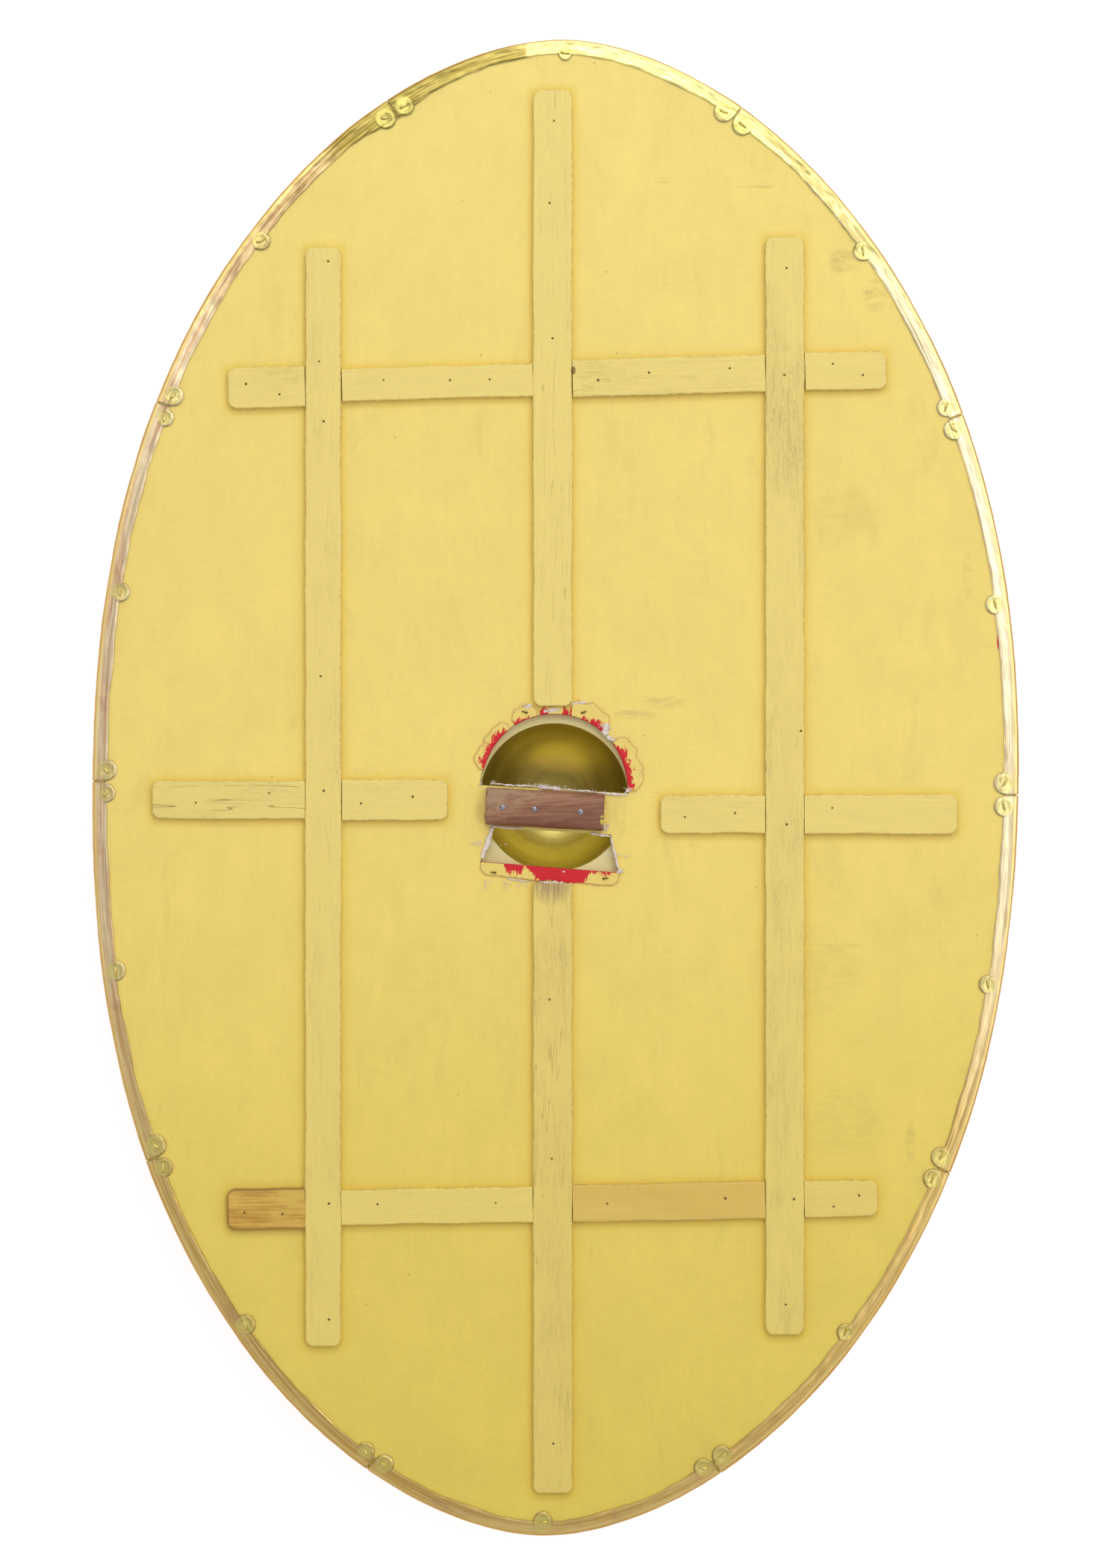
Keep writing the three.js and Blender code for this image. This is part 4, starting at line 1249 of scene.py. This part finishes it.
def batten(name, round_low, round_high, seed):
    way, side, (low, high), (left, right) = batten_box(name)
    if not round_low and name not in OPEN_BUTTS:
        low -= BUTT_CLOSING
    if not round_high:
        high += BUTT_CLOSING
    half = (right - left) / 2
    middle = (left + right) / 2
    rings, runs, edges, worn = [], [], [], []
    side_steps = np.array([0, 0.12, 0.4, 0.85, 1.5, 2.6])
    inner = np.linspace(0.18, 0.82, 7)
    for s in stations(high - low, BATTEN_CORNER):
        from_low, from_high = s, high - low - s
        cut, drop = 0.0, 0.0
        for free, distance in ((round_low, from_low), (round_high, from_high)):
            if free:
                cut = max(cut, float(round_over(distance, BATTEN_CORNER)))
                drop = max(drop, float(round_over(distance, 1.2)))
        width_wave = [0.45 * swell(s, e, 38, 1, seed) + 0.16 * swell(s, e, 7, 1, seed + 1) for e in (0, 5)]
        half_low, half_high = half - cut + width_wave[0], half - cut + width_wave[1]
        between = -half_low + (half_low + half_high) * inner
        across = np.concatenate([-half_low + side_steps, between, half_high - side_steps[::-1]])
        from_side = np.minimum(across + half_low, half_high - across)
        wear = 1.1 + 0.5 * float(swell(s, 2, 21, 1, seed + 2))
        height = BATTEN_TOP - np.maximum(round_over(from_side, max(wear, 0.5)), drop)
        ripple = 0.13 * swell(s, across, 30, 9, seed + 3)
        height = height + ripple * smooth_step(from_side, 0, 2)
        spot = np.outer(np.full(len(across), low + s), way) + np.outer(across + middle, side)
        top = np.column_stack([spot, height])
        foot = [(*spot[-1], 0.0), (*spot[0], 0.0)]
        rings.append(np.concatenate([top, foot]))
        wide = np.concatenate([across, [half_high, -half_low]])
        runs.append(run_mark(s + 900 * seed, wide, seed * 3.7))
        free_ends = min([d for f, d in ((round_low, from_low), (round_high, from_high)) if f] or [9])
        edges.append(np.concatenate([np.minimum(from_side, free_ends), [0, 0]]))
        worn.append(np.full(len(wide), BATTEN_WEAR.get(name, 0.0)))
    worn = np.concatenate(worn)
    places = np.concatenate(rings)
    if name == "batten_right":
        worn = worn + 0.5 * np.exp(-(((places[:, 1] - photo(0, WORN_ROW)[1]) / 70) ** 2)) - 0.2
    if name == "batten_centre_bottom":
        worn = worn + 0.9 * smooth_step(places[:, 1], -95, -76)
    bare = name == "batten_bottom_row_1"
    marks = {"run": np.concatenate(runs), "edge": np.concatenate(edges), "worn": worn}
    marks["brown"] = np.full(len(places), BATTEN_BROWN.get(name, 0.0))
    marks["cracked"] = np.full(len(places), BATTEN_CRACKED.get(name, 0.0))
    finish, slot = (BARE_FINISH, "bare_batten") if bare else (BATTEN_FINISH, "painted_batten")
    piece(name + "_worn", loft(rings), finish, [name], marks, sharp_degrees=50)


# Small nails in the battens, where the photo shows their heads
BATTEN_NAIL_PIXELS = [
    *[(514, 510), (603, 510), (656, 509), (330, 515), (375, 529), (428, 485), (434, 565), (440, 351)],
    *[(801, 510), (869, 500), (977, 494), (1050, 503), (1053, 360), (1115, 488), (1155, 503)],
    *[(328, 1623), (379, 1625), (506, 1612), (664, 1610), (441, 1611), (813, 1611), (971, 1604)],
    *[(1150, 1600), (1116, 1615), (1063, 1605), (263, 1075), (361, 1062), (434, 1059), (484, 1076)],
    *[(553, 1067), (984, 1089), (917, 1094), (1053, 1104), (1114, 1082), (742, 163), (736, 273)],
    *[(740, 454), (441, 1766), (741, 1932), (1052, 1746), (736, 1338), (739, 1551), (1072, 979)],
    (430, 906),
]


def batten_nails():
    profile = [(0, 0.3), (0.4, 0.27), (0.75, 0.17), (0.95, 0.0), (0.9, -0.5), (0, -0.6)]
    bodies = []
    for i, pixel in enumerate(BATTEN_NAIL_PIXELS):
        size = 0.85 + 0.3 * (i * 0.618 % 1)
        shaped = [(r * size, z) for r, z in profile]
        points, faces = lathe(shaped, 14, photo(*pixel))
        points[:, 2] += BATTEN_TOP
        bodies.append((points, faces))
    piece("batten_nails", joined(bodies), RUST_FINISH)


# Edging


def flange_height(depth):
    """Height of the flange over the face: it slopes down from its inner edge to the fold."""
    return 1.35 - 0.17 * np.clip(EDGING_FLANGE - depth, 0, None)


LOBE_STATIONS = (LOBE_FROM_JOINT, LENGTH_RUN / 2, LENGTH_RUN - LOBE_FROM_JOINT)
# Sections lie this close together near a lobe, over this span to either side, and farther apart elsewhere
LOBE_SPAN = 9.3
LOBE_STEP = 0.5
PLAIN_STEP = 2.3
# Where the fold over the rim starts, in from the rim, and how far it falls
FOLD_START = 2.2
FOLD_DEEP = 2.6
# The length at the top of the rim, and how much wider its flange is at the joint on its left
TOP_LENGTH = EDGING_LENGTHS
JOINT_WIDENING = 5


def lobe_size(number, index):
    """Lobes differ a little in size, as they were cut by hand. The one at the top is small."""
    if number == TOP_LENGTH and index == 1:
        return LOBE_RADIUS * 0.76
    return LOBE_RADIUS * (0.9 + 0.2 * ((number * 3 + index) * 0.618 % 1))


def flange_depth(number, s, seed):
    """How far in from the rim a flange reaches, at a way along its length."""
    depth = EDGING_FLANGE + 0.8 * swell(s, 0, 38, 1, seed) + 0.4 * swell(s, 0, 9, 1, seed + 1)
    if number == TOP_LENGTH:
        depth = depth + JOINT_WIDENING * np.exp(-((s / 24) ** 2))
    if number == TOP_LENGTH - 1:
        depth = depth + JOINT_WIDENING * np.exp(-(((LENGTH_RUN - s) / 30) ** 2))
    for index, station in enumerate(LOBE_STATIONS):
        radius = lobe_size(number, index)
        off = np.abs(s - station)
        disc = LOBE_DEPTH + np.sqrt(np.clip(radius**2 - off**2, 0, None))
        depth = np.where(off < radius, np.maximum(depth, disc), depth)
    return depth


def flange(number, s, seed):
    """Places across a flange at a way along: depth, height, how much painted shade it takes, and how far in a
    lobe.
    """
    reach = float(flange_depth(number, np.array(s), seed))
    depth = FOLD_START + (reach - FOLD_START) * np.linspace(0, 1, 23) ** 0.95
    height = flange_height(depth)
    place = np.full(len(depth), s)
    height = height + 0.22 * swell(place, depth, 13, 7, seed + 2) * smooth_step(depth, 1, 4)
    height = height + 0.14 * swell(place, depth, 70, 2.1, seed + 3) * smooth_step(depth, 1, 3)
    # Painted shade along the flange's inner edge, where it stands off the face, and at the seams between
    # lengths
    hollow = smooth_step(reach - depth, 0.8, 0.0) * 0.35
    from_joint = min(s, LENGTH_RUN - s)
    hollow = np.maximum(hollow, smooth_step(from_joint, 1.6, 0.4) * 0.9)
    lobe = np.zeros(len(depth))
    for index, station in enumerate(LOBE_STATIONS):
        radius = lobe_size(number, index)
        along, across = s - station, depth - LOBE_DEPTH
        turn = np.arctan2(across, along)
        uneven = 1 + 0.16 * swell(2 * np.cos(turn), 2 * np.sin(turn), 1.3, 1.3, seed + 5 + index)
        off = np.hypot(along, across)
        dish = 4.6 * uneven
        height = height - 0.2 * smooth_step(off, dish + 1.0, dish - 2.4)
        height = height + 0.04 * np.exp(-(((off - dish - 0.9) / 0.9) ** 2))
        # Painted shade on the lobe's inner side: round the rim of its dish and along its border
        inner_side = smooth_step(across, -5, 2)
        ring = 0.34 * np.exp(-(((off - dish) / 0.7) ** 2)) * (0.35 + 0.65 * inner_side)
        border = np.exp(-(((off - radius + 0.25) / 0.5) ** 2)) * inner_side
        hollow = np.maximum(hollow, np.where(off < radius + 0.6, np.maximum(ring, border * 0.8), 0))
        lobe = np.maximum(lobe, smooth_step(off, radius, radius - 2.0))
    lip = smooth_step(reach - depth, 1.6, 0.0)
    height = np.maximum(height - 0.35 * lip, 0.5)
    return depth, height, hollow, lobe


def edging_stations():
    """Where sections of an edging length lie along it."""
    found = {SEAM, LENGTH_RUN - SEAM}
    for s in np.arange(SEAM, LENGTH_RUN - SEAM, PLAIN_STEP):
        if min(abs(s - station) for station in LOBE_STATIONS) > LOBE_SPAN + 0.2:
            found.add(float(s))
    for station in LOBE_STATIONS:
        for k in np.arange(-LOBE_SPAN, LOBE_SPAN + 0.01, LOBE_STEP):
            if SEAM < station + k < LENGTH_RUN - SEAM:
                found.add(float(station + k))
    return sorted(found)


def length_start(number):
    """How far round the rim from the top an edging length starts."""
    return LENGTH_RUN / 2 + (number - 1) * LENGTH_RUN


def edging(number):
    start = length_start(number)
    folds = np.linspace(0, np.pi / 2, 7)[1:]
    wave_seed = 400 + number
    rings, runs, hollows, lobes = [], [], [], []
    for s in edging_stations():
        angle = along_rim(start + s)
        top_depth, top_height, top_hollow_shade, top_lobe = flange(number, s, 200 + 10 * number)
        front_depth, front_height, front_hollow_shade, front_lobe = flange(number, s, 300 + 10 * number)
        bow = 0.35 * float(swell(s, 0, 60, 1, wave_seed)) + 0.12 * float(swell(s, 0, 11, 1, wave_seed + 50))
        top_edge, front_edge = top_height[0], CLOTH_FRONT - front_height[0]
        fold_depth = FOLD_START * (1 - np.sin(folds)) + bow * np.sin(folds)
        top_fold = top_edge - FOLD_DEEP * (1 - np.cos(folds))
        front_fold = front_edge + FOLD_DEEP * (1 - np.cos(folds))
        outer = np.concatenate(
            [
                np.column_stack([top_depth[::-1], top_height[::-1]]),
                np.column_stack([fold_depth, top_fold]),
                np.column_stack([fold_depth[::-1], front_fold[::-1]]),
                np.column_stack([front_depth, CLOTH_FRONT - front_height]),
            ]
        )
        lip_top, lip_front = outer[0], outer[-1]
        thick = EDGING_SHEET
        bend = thick + 0.5
        inner = [
            (lip_front[0], lip_front[1] + thick * 0.8),
            (8, CLOTH_FRONT - flange_height(8.0) + thick),
            (4, CLOTH_FRONT - flange_height(4.0) + thick),
            (bend, front_edge + thick + 0.7),
            (bend, top_edge - thick - 0.7),
            (4, flange_height(4.0) - thick),
            (8, flange_height(8.0) - thick),
            (lip_top[0], lip_top[1] - thick * 0.8),
        ]
        section = np.concatenate([outer, np.array(inner)])
        rim = oval([angle], 0)[0]
        inward = oval([angle], 1)[0] - rim
        flat = rim + np.outer(section[:, 0], inward)
        rings.append(np.column_stack([flat, section[:, 1]]))
        hidden = np.ones(len(inner))
        sides = [top_depth[::-1], fold_depth, -fold_depth[::-1], -front_depth, -30 * hidden]
        runs.append(run_mark(s + 400 * number, np.concatenate(sides), 2.7 * number))
        quiet = np.zeros(2 * len(folds))
        # Painted shade: the flange marks, and a fixed darkening on the hidden inside of the fold
        hollows.append(np.concatenate([top_hollow_shade[::-1], quiet, front_hollow_shade, 0.6 * hidden]))
        lobes.append(np.concatenate([top_lobe[::-1], quiet, front_lobe, 0 * hidden]))
    marks = {"run": np.concatenate(runs), "hollow": np.concatenate(hollows), "lobe": np.concatenate(lobes)}
    name = f"edging_{number}"
    piece(name + "_hammered", loft(rings), EDGING_FINISH, [name], marks, sharp_degrees=60)


def clench(place, heading, length, thick, high):
    """The end of a nail: up out of the face, bent over and hammered flat."""
    way = towards(heading)
    run = np.array([-0.35, -0.3, -0.1, 0.35, 1.1, 2.2, 3.6, length - 0.9, length])
    rise = np.array([-1.2, 0.0, 0.65, 0.95, 1.0, 1.0, 0.95, 0.75, 0.4]) * thick
    path = np.column_stack([place + np.outer(run, way), high + rise])
    radii = thick * np.array([0.62, 0.62, 0.64, 0.66, 0.62, 0.56, 0.5, 0.36, 0.12])
    return tube(path, radii, 10)


def nail_head(place, radius, crown, high):
    """A low domed head on the front face, facing down."""
    profile = [(0, -crown), (radius * 0.4, -crown * 0.9), (radius * 0.75, -crown * 0.55), (radius, -0.15)]
    profile += [(radius * 0.97, 0.1), (0, 0.2)]
    points, faces = lathe(profile, 24, place)
    points[:, 2] += high
    return points, faces


def edging_nails():
    rng = random.Random(9)
    count = 0
    for number in range(1, EDGING_LENGTHS + 1):
        for station in LOBE_STATIONS:
            count += 1
            angle = along_rim(length_start(number) + station)
            place = oval([angle], LOBE_DEPTH)[0]
            inward = oval([angle], LOBE_DEPTH + 1)[0] - place
            heading = math.atan2(inward[1], inward[0]) + math.pi / 2 + rng.uniform(-0.7, 0.7)
            way = towards(heading)
            length = rng.uniform(5.6, 7.2)
            body = clench(place - way * length * 0.42, heading, length, 1.6, 0.5)
            head = nail_head(place, 4.0, 1.7, CLOTH_FRONT - 0.75)
            name = f"edging_nail_{count}"
            piece(name, joined([body, head]), BRASS_NAIL_FINISH, sharp_degrees=60)


# Grip


def grip():
    rings, runs = [], []
    near_end = np.array([0, 0.3, 0.8, 1.6, 2.8])
    between = np.linspace(4.5, GRIP_LENGTH - 4.5, 46)
    places = np.concatenate([near_end, between, GRIP_LENGTH - near_end[::-1]])
    shares = np.linspace(0, 1, 25)
    for s in places:
        from_end = min(s, GRIP_LENGTH - s)
        ragged = 0.5 * swell(s, 0, 16, 1, 501)
        half = GRIP_WIDTH / 2 + 0.25 * ragged - round_over(from_end, 1.2) * 0.6
        top = GRIP_TOP - round_over(from_end, 1.8) - 0.5 * smooth_step(from_end, 9, 0)
        across = -half + 2 * half * shares
        from_side = half - np.abs(across)
        height = top - round_over(from_side, 4.2) * 0.9 - 1.3 * (across / half) ** 4
        height = height + 0.25 * swell(s, across, 22, 7, 502) * smooth_step(from_side, 0, 3)
        left_wear = smooth_step(s, 3.0, 0.0) * 0.8 * swell(s, across, 2, 2.4, 503)
        long = GRIP_X - GRIP_LENGTH / 2 + s + left_wear
        spot = in_hole(np.column_stack([long, BRIDGE_MIDDLE + GRIP_RAISED + across]))
        top_row = np.column_stack([spot, height])
        foot = np.array([(*spot[-1], GAP * 0.5), (*spot[0], GAP * 0.5)])
        rings.append(np.concatenate([top_row, foot]))
        wide = np.concatenate([across, [half, -half]])
        runs.append(run_mark(s - GRIP_LENGTH / 2, wide, 1.0))
    marks = {"run": np.concatenate(runs)}
    piece("grip_worn", loft(rings), GRIP_FINISH, ["grip"], marks, sharp_degrees=50)


# Boss


def boss():
    ball = (DOME_RADIUS**2 + DOME_DEPTH**2) / (2 * DOME_DEPTH)
    ball_z = FLANGE_BACK - DOME_DEPTH + ball
    outer_ball = ball + BOSS_SHEET
    flange_front = FLANGE_BACK - BOSS_SHEET
    blend = 3.0
    inner_end = math.acos((FLANGE_BACK - ball_z) / -ball)
    outer_end = math.acos((flange_front - blend - ball_z) / -outer_ball)

    def on_ball(radius, angle):
        return (radius * math.sin(angle), ball_z - radius * math.cos(angle))

    inner = [on_ball(ball, inner_end * t) for t in np.linspace(0, 1, 44)]
    outer = [on_ball(outer_ball, outer_end * t) for t in np.linspace(1, 0, 44)]
    lip = 1.6
    inner_edge = inner[-1][0]
    rolled = [(inner_edge + lip * t, FLANGE_BACK) for t in (0.5, 1.0)]
    flat_radii = np.linspace(inner_edge + 2 * lip, BOSS_FLANGE_RADIUS - 0.6, 12)
    flange_in = [(r, FLANGE_BACK) for r in flat_radii]
    rim = [(BOSS_FLANGE_RADIUS, FLANGE_BACK - 0.4), (BOSS_FLANGE_RADIUS, flange_front + 0.4)]
    flange_out = [(r, flange_front) for r in flat_radii[::-1]]
    curve = [(outer[0][0] + blend * t**2, flange_front - blend * (1 - t) ** 2) for t in (0.85, 0.6, 0.35)]
    profile = inner + rolled + flange_in + rim + flange_out + curve + outer
    points, faces = lathe(profile, 144, (0, BOSS_Y))
    off = np.hypot(points[:, 0], points[:, 1] - BOSS_Y)
    on_flange = smooth_step(off, DOME_RADIUS + 3, DOME_RADIUS + 12)
    wave = 0.1 * swell(points[:, 0], points[:, 1], 26, 26, 601) * on_flange
    points[:, 2] += np.minimum(wave, 0.15)
    rows = to_row(points)
    rows[:, 2] = np.maximum(rows[:, 2], 0)
    piece("boss_spun", (to_shield(rows), faces), BOSS_FINISH, ["boss"], sharp_degrees=30)


BOSS_NAIL_MARGIN = 5
BOSS_NAIL_ANGLES = (74, 112)
BOSS_NAIL_SHARES = (-0.39, 0.39)
BOSS_NAIL_BENDS = (20, 160, 175, 10)
GRIP_NAIL_SHARES = (-0.36, -0.09, 0.3)
GRIP_NAIL_BENDS = (90, 80, 95)


def boss_nails():
    upper = [(ARCH_RADIUS + BOSS_NAIL_MARGIN) * towards(a) for a in np.radians(BOSS_NAIL_ANGLES)]
    width = 2 * FINGER_HALF_BOTTOM
    lower = [(share * width, FINGER_BOTTOM - BOSS_NAIL_MARGIN) for share in BOSS_NAIL_SHARES]
    for i, (place, bend) in enumerate(zip(in_hole([*upper, *lower]), BOSS_NAIL_BENDS), 1):
        end = clench(place, math.radians(bend), 3.6, 0.9, 1.25)
        shank = tube([(*place, z) for z in (-11, -5, 1.6)], [1.0, 1.0, 0.9], 10)
        head = nail_head(place, 4.6, 2.2, FLANGE_BACK - BOSS_SHEET)
        name = f"boss_nail_{i}"
        piece(name + "_clenched", joined([end, shank, head]), RUST_FINISH, [name])


def grip_nails():
    places = in_hole([(GRIP_X + share * GRIP_LENGTH, BRIDGE_MIDDLE) for share in GRIP_NAIL_SHARES])
    head = [(0, 0.55), (1.0, 0.5), (1.8, 0.35), (2.2, 0.05), (2.2, -0.5)]
    profile = [*head, (0.9, -1.0), (0.8, -24.0), (0, -24.2)]
    for i, (place, bend) in enumerate(zip(places, GRIP_NAIL_BENDS), 1):
        points, faces = lathe(profile, 20, place)
        points[:, 2] += GRIP_TOP
        end = clench(place, math.radians(bend), 5.5, 1.0, 0.0)
        turned = (end[0] * (1, 1, -1) + (0, 0, CLOTH_FRONT), end[1])
        name = f"grip_nail_{i}"
        piece(name + "_driven", joined([(points, faces), turned]), IRON_FINISH, [name])


# Room: camera square over the inside face, plain floor and soft lights


def camera():
    distance = 3200
    sensor_height = 36
    middle = photo(PHOTO_PIXELS[0] / 2, PHOTO_PIXELS[1] / 2)
    data = bpy.data.cameras.new("camera")
    data.sensor_fit = "AUTO"
    data.sensor_width = sensor_height
    data.lens = sensor_height * distance / (PHOTO_PIXELS[1] * MM_PER_PIXEL)
    data.clip_end = 50
    made = placed("camera", data)
    made.location = to_row([(*middle, distance)])[0]
    made.rotation_euler = (-rest_lean, 0, 0)
    bpy.context.scene.camera = made


def panel(name, place, width, height, power, colour):
    """A soft light that faces the origin."""
    data = bpy.data.lights.new(name, "AREA")
    data.shape = "RECTANGLE"
    data.size = width
    data.size_y = height
    data.energy = power
    data.color = colour
    made = placed(name, data)
    made.location = place
    made.rotation_euler = (-Vector(place)).to_track_quat("-Z", "Y").to_euler()


def room():
    half = 6.0
    mesh = bpy.data.meshes.new("floor")
    corners = [(-half, -half), (half, -half), (half, half), (-half, half)]
    mesh.from_pydata([(x, y, -0.0004) for x, y in corners], [], [(0, 1, 2, 3)])
    floor = placed("floor", mesh)
    finish = Finish("floor", base_color=(0.42, 0.42, 0.42), roughness=0.9, specular_IOR_level=0.1)
    finish.put("emission color", (1.0, 1.0, 1.0))
    finish.put("emission strength", 0.78)
    mesh.materials.append(finish.material)
    panel("top_panel", (0.4, 2.2, 2.9), 4.0, 2.8, 50, (1.0, 0.99, 0.95))
    panel("right_panel", (1.5, 0.1, 2.9), 2.6, 1.5, 12, (0.98, 0.98, 1.0))
    panel("small_panel", (0.26, 3.15, 2.2), 0.45, 0.4, 9, (1.0, 0.99, 0.95))
    world = bpy.data.worlds.new("room")
    bpy.context.scene.world = world
    world.use_nodes = True
    background = world.node_tree.nodes["Background"]
    background.inputs["Color"].default_value = (0.64, 0.61, 0.6, 1)
    background.inputs["Strength"].default_value = 1.0
    bpy.context.scene.view_settings.view_transform = "Standard"


camera()
room()
board()
cloth, cloth_area = facing_cloth()
torn = torn_linen()
for order, (batten_name, (_, round_low, round_high)) in enumerate(BATTENS.items()):
    batten(batten_name, round_low, round_high, 700 + 5 * order)
batten_nails()
for length_number in range(1, EDGING_LENGTHS + 1):
    edging(length_number)
edging_nails()
grip()
boss()
boss_nails()
grip_nails()
